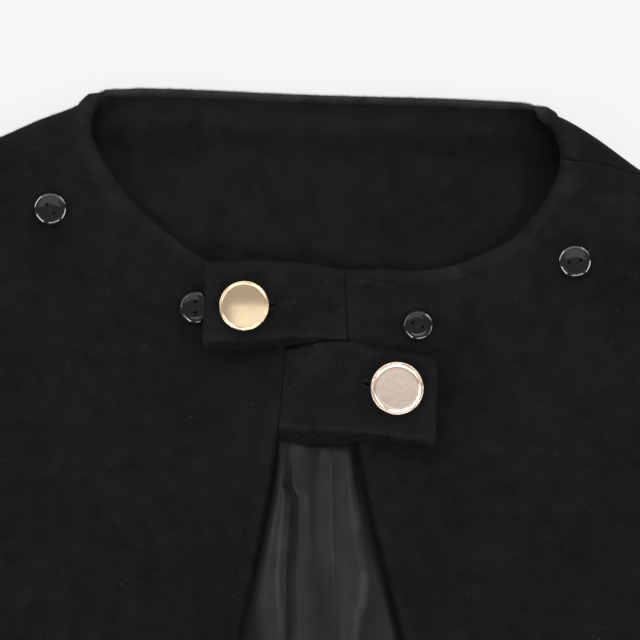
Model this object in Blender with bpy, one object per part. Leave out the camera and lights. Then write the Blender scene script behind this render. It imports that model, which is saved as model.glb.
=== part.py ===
"""A wool cloak with a satin back lining, laid on its back with its two neck tabs buttoned across the front.

Metres, +Z up. +Y runs up the garment to its neck and +X towards the wearer's left side. The origin lies on
the surface that the cloak rests on, at the middle of its outline. Places down the garment are given as a
depth below the top of the back neck edge.
"""

import math
from collections import namedtuple

import bmesh
import bpy
import numpy as np
from mathutils import Matrix, Vector

# Driving sizes of the whole garment
LENGTH = 0.857
HALF_WIDTH = 0.520
HEM_RISE = 0.055
HEM_POWER = 2.6

# Cloth
WOOL = 0.0026
TURNED_WOOL = 0.0042
EDGE_TURN = 0.009
EDGE_SOFTNESS = 0.002
HEM_TURN = 0.038
HEM_SOFTNESS = 0.004
NECK_EDGE_CLOTH = 0.0050
FACING = 0.0020
LINING = 0.0010
GAP = 0.0003
FACING_GAP = 0.0006
TAB_CLOTH = 0.0048
TAB_CORNER = 0.0035

# Heights above the surface that the cloak lies on
FOLD_REACH = 0.0065
FOLD_HEIGHT = 0.013
RISE_FROM_SHARE = 0.45
LYING_HEIGHT = 0.0092
EDGE_RIDGE = 0.0006
NECK_CURL = 0.0045
NECK_CURL_REACH = 0.028
NECK_LIFT_SHARE = 0.13
NECK_CORNER_REACH = 0.016
NECK_CORNER_SLANT = 0.0058

# The facing's and the lining's own edges
FACING_FROM_EDGE = 0.0064
FACING_FROM_SIDE = 0.0045
FACING_ALONG_SHOULDER = 0.052
LINING_FROM_SIDE = 0.012
LINING_FROM_HEM = 0.025
LINING_UNDER_FRONT = 0.0013
FOLDS_FLATTEN = 0.6
FOLDS_FLATTEN_FROM = 0.22
FOLDS_FLATTEN_TO = 0.36
FOLDS_END_SHARE = 0.05
FOLDS_ACROSS = (0.45, 0.57)
EDGE_TO_FOLDS = 0.003
EDGE_TO_FULL_FOLDS = 0.017
FOLDS_BELOW_TAB = 0.176
FULL_FOLDS_BELOW_TAB = 0.196

# Buttons
GOLD_RADIUS = 0.0125
GOLD_BASE_RADIUS = 0.0103
GOLD_HEIGHT = 0.0036
SHANK_RADIUS = 0.0014
SLOT_WIDTH = 0.0034
SLOT_NARROW = 0.0012
SLOT_LENGTH = 0.0180
SLOT_PAST_CENTRE = 0.0022
BLACK_RADIUS = 0.0075
BLACK_BASE_RADIUS = 0.0050
BLACK_HEIGHT = 0.0030
BLACK_HOLE_RADIUS = 0.0009
BLACK_HOLE_SPACING = 0.0050
SEAT = 0.0004

RIGHT, LEFT = -1, 1

SideRow = namedtuple("SideRow", "place right_x right_depth left_x left_depth")
NeckPoint = namedtuple("NeckPoint", "x depth")
Flute = namedtuple("Flute", "side across height width start")
LiningFold = namedtuple("LiningFold", "across height width")
TabRow = namedtuple("TabRow", "top_x top_depth foot_x foot_depth underside roll")
ButtonSpot = namedtuple("ButtonSpot", "name x depth turn lean lean_way")
ProfilePoint = namedtuple("ProfilePoint", "radius height")
Finish = namedtuple("Finish", "colour roughness metallic")

BLACK_WOOL = Finish((0.012, 0.012, 0.012), 0.95, 0.0)
DARK_SATIN = Finish((0.035, 0.036, 0.042), 0.40, 0.0)
PALE_GOLD = Finish((0.83, 0.68, 0.50), 0.18, 1.0)
BLACK_PLASTIC = Finish((0.010, 0.010, 0.012), 0.12, 0.0)

# The outermost line of the shoulder and side folds
SIDE_LINE = (
    SideRow("neck corner", -0.1134, 0.0022, 0.1107, 0.0091),
    SideRow("past the neck corner", -0.1208, 0.0080, 0.1179, 0.0137),
    SideRow("collar button", -0.1383, 0.0145, 0.1376, 0.0263),
    SideRow("shoulder", -0.1554, 0.0226, 0.1542, 0.0385),
    SideRow("shoulder tip", -0.2230, 0.0545, 0.2190, 0.0855),
    SideRow("upper arm", -0.2970, 0.1100, 0.2910, 0.1520),
    SideRow("arm", -0.3540, 0.2050, 0.3490, 0.2380),
    SideRow("elbow", -0.4030, 0.3560, 0.4020, 0.3680),
    SideRow("side", -0.4540, 0.5570, 0.4540, 0.5590),
    SideRow("hem corner", -0.5200, 0.8020, 0.5200, 0.8020),
)

# The two front edges, which hang apart below the tabs
FRONT_EDGES = (
    SideRow("neck", -0.0145, 0.0905, 0.0121, 0.0905),
    SideRow("foot of the upper tab", -0.0166, 0.1260, 0.0136, 0.1257),
    SideRow("foot of the lower tab", -0.0205, 0.1728, 0.0177, 0.1728),
    SideRow("chest", -0.0373, 0.2639, 0.0380, 0.2639),
    SideRow("hem", -0.1550, 0.8515, 0.1600, 0.8514),
)

RIGHT_NECKLINE = (
    NeckPoint(-0.0500, 0.0880),
    NeckPoint(-0.0717, 0.0745),
    NeckPoint(-0.0975, 0.0490),
    NeckPoint(-0.1080, 0.0325),
    NeckPoint(-0.1120, 0.0215),
)
LEFT_NECKLINE = (
    NeckPoint(0.0300, 0.0902),
    NeckPoint(0.0464, 0.0908),
    NeckPoint(0.0620, 0.0890),
    NeckPoint(0.0774, 0.0832),
    NeckPoint(0.0930, 0.0752),
    NeckPoint(0.1015, 0.0668),
    NeckPoint(0.1115, 0.0530),
    NeckPoint(0.1158, 0.0420),
    NeckPoint(0.1164, 0.0350),
    NeckPoint(0.1140, 0.0265),
)
BACK_NECK_EDGE = (
    NeckPoint(-0.1010, 0.0006),
    NeckPoint(-0.0839, 0.0000),
    NeckPoint(-0.0099, 0.0025),
    NeckPoint(0.0641, 0.0051),
    NeckPoint(0.0940, 0.0064),
)

FACING_FOOT = (NeckPoint(-0.085, 0.105), NeckPoint(0.000, 0.135), NeckPoint(0.085, 0.113))

# How high the shoulder fold stands at the neck, and how far the seam on it lies on the front there
NECK_FOLD_HEIGHT = {RIGHT: 0.018, LEFT: 0.021}
SEAM_ON_FRONT = {RIGHT: 0.0, LEFT: 0.038}
SEAM_CROSSES_AT = 0.070

# Soft flutes in the fronts, deepest at the hem, by their share of the way from front edge to side
FLUTES = (
    Flute(RIGHT, 0.20, 0.006, 0.10, 0.45),
    Flute(RIGHT, 0.48, 0.009, 0.12, 0.30),
    Flute(RIGHT, 0.76, 0.007, 0.10, 0.40),
    Flute(LEFT, 0.16, 0.005, 0.09, 0.50),
    Flute(LEFT, 0.43, 0.010, 0.13, 0.28),
    Flute(LEFT, 0.73, 0.007, 0.10, 0.42),
)

# Long folds in the lining, by their share of the way across the back
LINING_FOLDS = (
    LiningFold(0.150, 0.0012, 0.045),
    LiningFold(0.275, 0.0013, 0.040),
    LiningFold(0.385, 0.0012, 0.035),
    LiningFold(0.468, 0.0048, 0.011),
    LiningFold(0.489, 0.0042, 0.009),
    LiningFold(0.505, 0.0046, 0.009),
    LiningFold(0.527, 0.0052, 0.013),
    LiningFold(0.552, 0.0038, 0.011),
    LiningFold(0.640, 0.0012, 0.035),
    LiningFold(0.740, 0.0013, 0.040),
    LiningFold(0.860, 0.0012, 0.045),
)

# Each tab from its seam to its end: its upper and lower edges, its underside above the surface, and how far
# its rolled lower edge stands out below
UPPER_TAB = (
    TabRow(0.0118, 0.0905, 0.0133, 0.1257, 0.0053, 0.0000),
    TabRow(0.0020, 0.0888, 0.0030, 0.1247, 0.0070, 0.0002),
    TabRow(-0.0110, 0.0878, -0.0105, 0.1244, 0.0104, 0.0008),
    TabRow(-0.0250, 0.0875, -0.0250, 0.1252, 0.0108, 0.0013),
    TabRow(-0.0400, 0.0878, -0.0405, 0.1263, 0.0117, 0.0015),
    TabRow(-0.0517, 0.0885, -0.0528, 0.1271, 0.0133, 0.0015),
    TabRow(-0.0547, 0.0890, -0.0561, 0.1273, 0.0139, 0.0015),
)
LOWER_TAB = (
    TabRow(-0.0162, 0.1288, -0.0197, 0.1668, 0.0053, 0.0036),
    TabRow(-0.0034, 0.1268, -0.0050, 0.1678, 0.0074, 0.0036),
    TabRow(0.0120, 0.1267, 0.0110, 0.1690, 0.0104, 0.0034),
    TabRow(0.0290, 0.1302, 0.0280, 0.1709, 0.0107, 0.0022),
    TabRow(0.0420, 0.1325, 0.0400, 0.1728, 0.0114, 0.0014),
    TabRow(0.0552, 0.1348, 0.0538, 0.1746, 0.0130, 0.0012),
)
UPPER_GOLD = ButtonSpot("upper_gold_button", -0.0361, 0.1098, 0.0, 0.0, 0.0)
LOWER_GOLD = ButtonSpot("lower_gold_button", 0.0364, 0.1493, 0.0, 0.0, 0.0)
COLLAR_BUTTONS = (
    ButtonSpot("collar_button_right_outer", -0.1306, 0.0613, -52.0, 3.0, 120.0),
    ButtonSpot("collar_button_right_inner", -0.0600, 0.1091, 70.0, 0.0, 0.0),
    ButtonSpot("collar_button_left_inner", 0.0466, 0.1178, -5.0, 14.0, 60.0),
    ButtonSpot("collar_button_left_outer", 0.1232, 0.0870, 58.0, 4.0, 200.0),
)

# Mesh fineness
ROWS = 25
FIRST_ROW = 0.005
ROW_GROWTH = 1.22
MOST_ROW = 0.062
ROLL_STEP = 1.15
FRONT_COLUMNS = 15
FOLD_COLUMNS = 4
PAST_FOLD = 0.008
BACK_FOLD_COLUMNS = {RIGHT: 5, LEFT: 9}
BACK_COLUMNS = 11
LINING_COLUMNS = 11
LINING_FOLD_COLUMNS = 29
GOLD_SEGMENTS = 28
BLACK_SEGMENTS = 16


def clear_scene():
    """Removes every object of the scene that the script is run in."""
    for obj in list(bpy.data.objects):
        bpy.data.objects.remove(obj)


def material(name, finish):
    """A plain Principled material."""
    made = bpy.data.materials.new(name)
    made.use_nodes = True
    shader = made.node_tree.nodes["Principled BSDF"]
    shader.inputs["Base Color"].default_value = (*finish.colour, 1.0)
    shader.inputs["Roughness"].default_value = finish.roughness
    shader.inputs["Metallic"].default_value = finish.metallic
    return made


def smoothstep(low, high, value):
    """0 below low, 1 above high, and smooth between them."""
    share = np.clip((value - low) / (high - low), 0.0, 1.0)
    return share * share * (3 - 2 * share)


def hem_depth(x):
    """Depth of the hem line at that distance from the centre."""
    return LENGTH - HEM_RISE * (np.abs(x) / HALF_WIDTH) ** HEM_POWER


class Line:
    """A smooth line in plan through a few points (x, depth), read by its share of the length."""

    STEPS = 40

    def __init__(self, points):
        knots = np.array([(p[0], p[1]) for p in points], float)
        spans = np.linalg.norm(np.diff(knots, axis=0), axis=1)
        slopes = np.diff(knots, axis=0) / spans[:, None]
        tangents = np.vstack([slopes[:1], np.zeros((len(knots) - 2, 2)), slopes[-1:]])
        for i in range(1, len(knots) - 1):
            before, after = spans[i - 1], spans[i]
            tangents[i] = (slopes[i - 1] * after + slopes[i] * before) / (before + after)
        share = np.linspace(0, 1, self.STEPS, endpoint=False)[:, None]
        pieces = []
        for i, span in enumerate(spans):
            pieces.append(
                knots[i] * (1 + 2 * share) * (1 - share) ** 2
                + knots[i + 1] * share**2 * (3 - 2 * share)
                + tangents[i] * span * share * (1 - share) ** 2
                - tangents[i + 1] * span * share**2 * (1 - share)
            )
        self.points = np.vstack([*pieces, knots[-1:]])
        lengths = np.linalg.norm(np.diff(self.points, axis=0), axis=1)
        self.along = np.concatenate([[0], np.cumsum(lengths)])
        self.length = self.along[-1]

    def at(self, share):
        """Points (x, depth) at those shares of the line's length."""
        place = np.asarray(share) * self.length
        return np.stack([np.interp(place, self.along, self.points[:, k]) for k in (0, 1)], axis=-1)

    def direction(self, share):
        """Unit direction of the line at those shares."""
        step = 0.002
        ahead = self.at(np.minimum(np.asarray(share) + step, 1.0))
        behind = self.at(np.maximum(np.asarray(share) - step, 0.0))
        run = ahead - behind
        return run / np.linalg.norm(run, axis=-1, keepdims=True)


def side_points(table, side):
    """The (x, depth) points of one side of a table of rows."""
    if side == RIGHT:
        return [(row.right_x, row.right_depth) for row in table]
    return [(row.left_x, row.left_depth) for row in table]


OUTLINES = {side: Line(side_points(SIDE_LINE, side)) for side in (RIGHT, LEFT)}
FRONT_EDGE_LINES = {side: Line(side_points(FRONT_EDGES, side)) for side in (RIGHT, LEFT)}


def outward(side, down):
    """Unit direction in which the fold bulges: square to the outline, and sideways at the neck corner."""
    along = OUTLINES[side].direction(down)
    square = np.stack([along[..., 1], -along[..., 0]], axis=-1) * side
    sideways = 1 - smoothstep(0.0, NECK_CORNER_REACH / OUTLINES[side].length, np.asarray(down))[..., None]
    blend = square * (1 - sideways) + np.array([side, 0.0]) * sideways
    return blend / np.linalg.norm(blend, axis=-1, keepdims=True)


def corner_slant(side, down):
    """How far the fold's upper half lies below its lower half at the neck corner, in plan."""
    share = 1 - smoothstep(0.0, NECK_CORNER_REACH / OUTLINES[side].length, np.asarray(down))[..., None]
    return np.array([0.0, NECK_CORNER_SLANT]) * share


def fold_foot(side, down):
    """Where the shoulder or side fold meets the back, in plan."""
    return OUTLINES[side].at(down) - outward(side, down) * FOLD_REACH - corner_slant(side, down) / 2


def fold_head(side, down):
    """Where the fold meets the front above it, in plan."""
    return fold_foot(side, down) + corner_slant(side, down)


def neck_line(side):
    """A front's neck edge, from its front edge to the neck corner."""
    table = RIGHT_NECKLINE if side == RIGHT else LEFT_NECKLINE
    return Line([FRONT_EDGE_LINES[side].at(0.0), *table, fold_head(side, 0.0)])


NECK_LINES = {side: neck_line(side) for side in (RIGHT, LEFT)}
BACK_NECK_LINE = Line([fold_foot(RIGHT, 0.0), *BACK_NECK_EDGE, fold_foot(LEFT, 0.0)])


def coons(across, down, top, foot, near, far):
    """A patch between four lines: top and foot run across it, near and far run down it."""
    a, d = np.asarray(across)[..., None], np.asarray(down)[..., None]
    corners = (
        (1 - a) * (1 - d) * near(0.0) + a * (1 - d) * far(0.0) + (1 - a) * d * near(1.0) + a * d * far(1.0)
    )
    return (1 - d) * top(across) + d * foot(across) + (1 - a) * near(down) + a * far(down) - corners


def hem_between(start, end):
    """A function for the hem between two points, along the curve of the hem."""

    def at(across):
        share = np.asarray(across)
        x = start[0] + (end[0] - start[0]) * share
        offset = (start[1] - hem_depth(start[0])) * (1 - share) + (end[1] - hem_depth(end[0])) * share
        return np.stack([x, hem_depth(x) + offset], axis=-1)

    return at


def side_from(side, first, inset):
    """A function for the foot of a side fold from a share of its length to its end, moved inwards."""

    def at(share):
        down = first + (1 - first) * np.asarray(share)
        return fold_foot(side, down) - outward(side, down) * inset

    return at


def front_plan(side, across, down):
    """Plan points of a front: across runs from its front edge (0) to the foot of its side fold (1)."""
    return coons(
        across,
        down,
        NECK_LINES[side].at,
        hem_between(FRONT_EDGE_LINES[side].at(1.0), fold_head(side, 1.0)),
        FRONT_EDGE_LINES[side].at,
        lambda share: fold_head(side, share),
    )


def back_plan(across, down):
    """Plan points of the back: across runs from the wearer's right side fold (0) to the left one (1)."""
    return coons(
        across,
        down,
        BACK_NECK_LINE.at,
        hem_between(fold_foot(RIGHT, 1.0), fold_foot(LEFT, 1.0)),
        side_from(RIGHT, 0.0, 0.0),
        side_from(LEFT, 0.0, 0.0),
    )


def back_underside(plan):
    """Height of the back's right side: flat on the surface, and curled up along the neck edge."""
    edge = np.interp(plan[..., 0], BACK_NECK_LINE.points[:, 0], BACK_NECK_LINE.points[:, 1])
    return NECK_CURL * (1 - smoothstep(0.0, NECK_CURL_REACH, plan[..., 1] - edge))


def hem_share(plan):
    """1 where the hem is turned up, and 0 above it."""
    from_hem = hem_depth(plan[..., 0]) - plan[..., 1]
    return 1 - smoothstep(HEM_TURN - HEM_SOFTNESS, HEM_TURN + HEM_SOFTNESS, from_hem)


def back_cloth(plan):
    """Thickness of the back, doubled where the hem is turned up."""
    return WOOL + (TURNED_WOOL - WOOL) * hem_share(plan)


def fold_top(side, down):
    """Height of the top of the shoulder or side fold."""
    lift = NECK_FOLD_HEIGHT[side] - FOLD_HEIGHT
    return FOLD_HEIGHT + lift * (1 - smoothstep(0.0, NECK_LIFT_SHARE, down))


def edge_share(side, across, down):
    """1 where a front's edges are turned in along the front edge and the neck, and 0 inside them."""
    far_end = front_plan(side, np.ones_like(across), down)
    row = np.linalg.norm(far_end - FRONT_EDGE_LINES[side].at(down), axis=-1)
    from_edge = np.minimum(across * row, down * FRONT_EDGE_LINES[side].length)
    return 1 - smoothstep(EDGE_TURN - EDGE_SOFTNESS, EDGE_TURN + EDGE_SOFTNESS, from_edge)


def front_height(side, across, down):
    """Height of a front's right side."""
    turned_up = hem_share(front_plan(side, across, down))
    height = LYING_HEIGHT + EDGE_RIDGE * edge_share(side, across, down) + (TURNED_WOOL - WOOL) * turned_up
    height = height + (fold_top(side, down) - height) * smoothstep(RISE_FROM_SHARE, 1.0, across)
    for flute in FLUTES:
        if flute.side == side:
            wave = np.cos(np.clip((across - flute.across) / flute.width, -1, 1) * math.pi / 2) ** 2
            height = height + flute.height * wave * smoothstep(flute.start, 1.1, down)
    return height


def front_cloth(side, across, down):
    """Thickness of a front: doubled where its front edge, neck edge and hem are turned."""
    turned = np.maximum(edge_share(side, across, down), hem_share(front_plan(side, across, down)))
    return WOOL + (TURNED_WOOL - WOOL) * turned


def on_garment(plan, height):
    """Points in the garment's frame from plan points and heights."""
    return np.stack([plan[..., 0], LENGTH / 2 - plan[..., 1], height + 0 * plan[..., 0]], axis=-1)


def seam_place(side, down):
    """How far the shoulder and side seam lies past the outermost line of the fold, on the front."""
    along = np.asarray(down) * OUTLINES[side].length
    return SEAM_ON_FRONT[side] * (1 - np.clip(along / SEAM_CROSSES_AT, 0, 1))


def ring_points(side, place, down):
    """Points of the cloth by their distance from the outermost line of the fold: onto the front is positive.

    The fold is half an ellipse between the back below and the front above.
    """
    place, down = np.broadcast_arrays(np.asarray(place, float), np.asarray(down, float))
    foot, head = fold_foot(side, down), fold_head(side, down)
    low = back_underside(foot)
    high = fold_top(side, down)
    quarter = FOLD_REACH * math.pi / 2
    angle = np.clip(place / quarter, -1, 1) * math.pi / 2
    rise = (1 + np.sin(angle))[..., None] / 2
    plan = foot + (head - foot) * rise + outward(side, down) * (FOLD_REACH * np.cos(angle))[..., None]
    arc = on_garment(plan, (low + high) / 2 + (high - low) / 2 * np.sin(angle))
    row = row_length(side, down)
    across = 1 - np.clip(place - quarter, 0, None) / row
    flat = on_garment(front_plan(side, across, down), front_height(side, across, down))
    return np.where((place > quarter)[..., None], flat, arc)


def ring_normals(side, place, down):
    """Unit normals of the same points, away from the inside of the fold."""
    place, down = np.broadcast_arrays(np.asarray(place, float), np.asarray(down, float))
    nudge = 0.0006
    ahead, behind = np.minimum(down + nudge, 1.0), np.maximum(down - nudge, 0.0)
    along_row = ring_points(side, place + nudge, down) - ring_points(side, place - nudge, down)
    down_row = ring_points(side, place, ahead) - ring_points(side, place, behind)
    normal = np.cross(along_row, down_row) * side
    return normal / np.linalg.norm(normal, axis=-1, keepdims=True)


def row_length(side, down):
    """Length of a front's row from its front edge to the foot of the side fold, in plan."""
    across = np.linspace(0, 1, 33)
    rows = front_plan(side, across[:, None], np.atleast_1d(down).ravel()[None, :])
    return np.linalg.norm(np.diff(rows, axis=0), axis=-1).sum(axis=0).reshape(np.shape(down))


def rows_down():
    """Shares down the garment of the rows, closer together near the neck."""
    steps = np.minimum(FIRST_ROW * ROW_GROWTH ** np.arange(ROWS), MOST_ROW)
    places = np.concatenate([[0.0], np.cumsum(steps)]) / steps.sum()
    return np.insert(places, 2, places[1] * ROLL_STEP)


def downward_normals(grid):
    """Unit normals of a nearly level grid of points, on its lower side."""
    normal = np.cross(np.gradient(grid, axis=0), np.gradient(grid, axis=1))
    normal *= -np.sign(normal[..., 2:])
    return normal / np.linalg.norm(normal, axis=-1, keepdims=True)


def solid_from_faces(name, face, back, finish, skipped=()):
    """A closed wall between two grids of points, joined by its rim. Cells that are skipped become a hole."""
    rows, columns = face.shape[:2]
    mesh = bmesh.new()
    front_points = [[mesh.verts.new(p) for p in row] for row in face]
    back_points = [[mesh.verts.new(p) for p in row] for row in back]
    cells = {(r, c) for r in range(rows - 1) for c in range(columns - 1)} - set(skipped)
    for r, c in sorted(cells):
        corners = [(r, c), (r, c + 1), (r + 1, c + 1), (r + 1, c)]
        mesh.faces.new([front_points[i][j] for i, j in corners])
        mesh.faces.new([back_points[i][j] for i, j in reversed(corners)])
        beside = [(r - 1, c), (r, c + 1), (r + 1, c), (r, c - 1)]
        for k, neighbour in enumerate(beside):
            if neighbour not in cells:
                (i, j), (m, n) = corners[k], corners[(k + 1) % 4]
                mesh.faces.new([front_points[m][n], front_points[i][j], back_points[i][j], back_points[m][n]])
    loose = [v for v in mesh.verts if not v.link_faces]
    bmesh.ops.delete(mesh, geom=loose, context="VERTS")
    bmesh.ops.recalc_face_normals(mesh, faces=mesh.faces)
    return finished(name, mesh, finish)


def finished(name, mesh, finish):
    """Turns a bmesh into a named object of the scene."""
    data = bpy.data.meshes.new(name)
    mesh.to_mesh(data)
    mesh.free()
    data.shade_smooth()
    data.set_sharp_from_angle(angle=math.radians(35))
    data.materials.append(material(name + "_finish", finish))
    obj = bpy.data.objects.new(name, data)
    bpy.context.scene.collection.objects.link(obj)
    return obj


def make_front(side, finish):
    """One front, from its side seam to its front edge."""
    down = rows_down()
    row = row_length(side, down)
    quarter = FOLD_REACH * math.pi / 2
    start = seam_place(side, down) + GAP / 2
    fold_end = np.maximum(quarter, start) + PAST_FOLD
    whole = quarter + row
    first = np.linspace(0, 1, FOLD_COLUMNS + 1)[:-1]
    rest = np.linspace(0, 1, FRONT_COLUMNS + 1)
    turn = 1 - EDGE_TURN / (whole - fold_end).mean()
    rest = np.unique(np.append(rest, turn))
    near_fold = start[:, None] + first * (fold_end - start)[:, None]
    to_edge = fold_end[:, None] + rest * (whole - fold_end)[:, None]
    places = np.concatenate([near_fold, to_edge], axis=1)
    face = ring_points(side, places, down[:, None])
    across = 1 - np.clip(places - quarter, 0, row[:, None]) / row[:, None]
    cloth = front_cloth(side, across, np.broadcast_to(down[:, None], across.shape))
    inner = face - ring_normals(side, places, down[:, None]) * cloth[..., None]
    name = "right_front" if side == RIGHT else "left_front"
    return solid_from_faces(name, face, inner, finish)


def make_back(finish):
    """The back: flat on the surface, up round both side folds and on to the seams."""
    down = rows_down()
    quarter = FOLD_REACH * math.pi / 2
    faces, normals = {}, {}
    for side in (RIGHT, LEFT):
        share = np.linspace(0, 1, BACK_FOLD_COLUMNS[side] + 1)[:-1]
        start = seam_place(side, down) - GAP / 2
        places = start[:, None] - share * (quarter + start)[:, None]
        faces[side] = ring_points(side, places, down[:, None])
        normals[side] = ring_normals(side, places, down[:, None])
    across, rows = np.meshgrid(np.linspace(0, 1, BACK_COLUMNS + 1), down)
    plan = back_plan(across, rows)
    middle = on_garment(plan, back_underside(plan))
    face = np.concatenate([faces[RIGHT], middle, faces[LEFT][:, ::-1]], axis=1)
    normal = np.concatenate([normals[RIGHT], downward_normals(middle), normals[LEFT][:, ::-1]], axis=1)
    cloth = back_cloth(np.stack([face[..., 0], LENGTH / 2 - face[..., 1]], axis=-1))
    from_neck = down * OUTLINES[RIGHT].length
    turned_in = 1 - smoothstep(EDGE_TURN - EDGE_SOFTNESS, EDGE_TURN + EDGE_SOFTNESS, from_neck)
    cloth += (TURNED_WOOL - WOOL) * turned_in[:, None]
    flat = slice(BACK_FOLD_COLUMNS[RIGHT], -BACK_FOLD_COLUMNS[LEFT])
    cloth[:, flat] = back_cloth(plan)
    cloth[:2, flat] = NECK_EDGE_CLOTH
    return solid_from_faces("back_panel", face, face - normal * cloth[..., None], finish)


def facing_end(side):
    """The share of the shoulder's length at which the back neck facing ends."""
    return FACING_ALONG_SHOULDER / OUTLINES[side].length


def facing_side(side):
    """A function for the facing's edge along the inside of a shoulder fold."""
    first = FACING_FROM_EDGE / OUTLINES[side].length

    def at(share):
        down = first + (facing_end(side) - first) * np.asarray(share)
        return fold_foot(side, down) - outward(side, down) * FACING_FROM_SIDE

    return at


def facing_foot(lower):
    """The lower edge of the back neck facing, or a line that far below it."""
    start, end = facing_side(RIGHT)(1.0), facing_side(LEFT)(1.0)
    return Line([(x, depth + lower) for x, depth in (start, *FACING_FOOT, end)])


def make_facing(finish):
    """The wool facing that shows inside the neck, set in below the back's rolled edge."""
    rows = np.append(np.linspace(0, 0.24, 7), (0.35, 0.55, 0.78, 1.0))
    across, down = np.meshgrid(np.linspace(0, 1, 19), rows)
    sides = [facing_side(side) for side in (RIGHT, LEFT)]
    first = FACING_FROM_EDGE / OUTLINES[RIGHT].length
    inner = back_plan(np.linspace(0.08, 0.92, 9), np.full(9, first))
    top = Line([sides[0](0.0), *inner, sides[1](0.0)])
    plan = coons(across, down, top.at, facing_foot(0.0).at, *sides)
    underside = back_underside(plan) + back_cloth(plan) + FACING_GAP
    return solid_from_faces(
        "back_neck_facing", on_garment(plan, underside), on_garment(plan, underside + FACING), finish
    )


def lining_room(plan):
    """1 where the lining lies open between the front edges, and 0 below the fronts and tabs."""
    near = {}
    for side in (RIGHT, LEFT):
        line = FRONT_EDGE_LINES[side].points
        edge = np.interp(plan[..., 1], line[:, 1], line[:, 0])
        near[side] = smoothstep(EDGE_TO_FOLDS, EDGE_TO_FULL_FOLDS, (edge - plan[..., 0]) * side)
    return near[RIGHT] * near[LEFT] * smoothstep(FOLDS_BELOW_TAB, FULL_FOLDS_BELOW_TAB, plan[..., 1])


def lining_height(plan, across, down):
    """Height of the lining's underside, with its long folds."""
    room = lining_room(plan)
    rise = 0 * room
    for fold in LINING_FOLDS:
        wave = np.cos(np.clip((across - fold.across) / fold.width, -1, 1) * math.pi / 2) ** 2
        most = min(fold.height, LINING_UNDER_FRONT) * (1 - room) + fold.height * room
        rise = np.maximum(rise, most * wave)
    rise *= 1 - FOLDS_FLATTEN * smoothstep(FOLDS_FLATTEN_FROM, FOLDS_FLATTEN_TO, down)
    rise *= smoothstep(0.0, FOLDS_END_SHARE, 1 - down)
    return back_underside(plan) + back_cloth(plan) + GAP + rise


def make_lining(finish):
    """The satin back lining, from the facing's lower edge to just above the hem."""
    low, high = FOLDS_ACROSS
    beside = np.linspace(0, 1, LINING_COLUMNS)[1:-1]
    folded = np.linspace(low, high, LINING_FOLD_COLUMNS)
    columns = np.concatenate([[0], beside * low, folded, high + beside * (1 - high), [1]])
    across, down = np.meshgrid(columns, np.linspace(0, 1, 13) ** 1.2)
    sides = [side_from(side, facing_end(side), LINING_FROM_SIDE) for side in (RIGHT, LEFT)]
    top = facing_foot(GAP * 2)
    top = Line([sides[0](0.0), *top.points[10:-10:10], sides[1](0.0)])
    hem = [side(1.0) - (0.0, LINING_FROM_HEM) for side in sides]
    plan = coons(across, down, top.at, hem_between(*hem), *sides)
    underside = lining_height(plan, across, down)
    return solid_from_faces(
        "back_lining", on_garment(plan, underside), on_garment(plan, underside + LINING), finish
    )


def tab_value(rows, field, distance):
    """A tab's size at those distances from its seam, smooth between the rows of its table."""
    line = Line([(abs(row.top_x - rows[0].top_x), getattr(row, field)) for row in rows]).points
    return np.interp(distance, line[:, 0], line[:, 1])


def make_tab(name, rows, button, finish):
    """A double wool tab with a buttonhole, sewn to one front edge and laid over the other."""
    length = abs(rows[-1].top_x - rows[0].top_x)
    height = rows[-1].foot_depth - rows[-1].top_depth
    way = np.sign(rows[-1].top_x - rows[0].top_x)
    shank = (button.x - rows[0].top_x) * way
    slot = (shank + SLOT_PAST_CENTRE - SLOT_LENGTH, shank + SLOT_PAST_CENTRE)
    first = np.array([0.0, 0.10, 0.21, 0.31, 0.40, 0.87]) * length
    along = np.unique([*first, slot[0], (slot[0] + slot[1]) / 2, slot[1], length - TAB_CORNER])
    along = np.append(along, (length - 0.3 * TAB_CORNER, length))
    bend = TAB_CORNER / height
    top_there, foot_there = (tab_value(rows, field, shank) for field in ("top_depth", "foot_depth"))
    middle = (button.depth - top_there) / (foot_there - top_there)
    upper_half = [0, 0.3 * bend, bend, middle / 2, middle]
    lines = np.array([*upper_half, middle, (1 + middle) / 2, 1 - bend, 1 - 0.3 * bend, 1])
    upper_slot_line = 4
    distance, line = np.meshgrid(along, lines)
    half = np.interp(along, slot, (SLOT_NARROW / 2, SLOT_WIDTH / 2)) / height
    line[upper_slot_line] -= half
    line[upper_slot_line + 1] += half
    distance = distance - corner_pull(line, bend) * TAB_CORNER * smoothstep(0.5, 1.0, distance / length)
    top = np.stack([tab_value(rows, field, distance) for field in ("top_x", "top_depth")], axis=-1)
    foot = np.stack([tab_value(rows, field, distance) for field in ("foot_x", "foot_depth")], axis=-1)
    plan = top + (foot - top) * line[..., None]
    sewn_to = FRONT_EDGE_LINES[-way].points
    seam_x = np.interp(plan[..., 1], sewn_to[:, 1], sewn_to[:, 0]) + way * GAP
    straight = rows[0].top_x + (rows[0].foot_x - rows[0].top_x) * line
    plan[..., 0] += (seam_x - straight) * (1 - smoothstep(0.0, 0.5, distance / length))
    roll = tab_value(rows, "roll", distance) * smoothstep(1 - 2 * bend, 1.0, line)
    below = plan + np.stack([0 * roll, roll], axis=-1)
    underside = tab_value(rows, "underside", distance)
    starts, ends = (int(np.argmin(np.abs(along - place))) for place in slot)
    hole = [(upper_slot_line, column) for column in range(starts, ends)]
    return solid_from_faces(
        name, on_garment(plan, underside + TAB_CLOTH), on_garment(below, underside), finish, skipped=hole
    )


def corner_pull(line, bend):
    """How far a rounded corner draws back the end of a tab, as a share of its rounding."""
    inside = np.clip((bend - np.minimum(line, 1 - line)) / bend, 0, 1)
    return 1 - np.sqrt(1 - inside**2 * 0.98)


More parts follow.
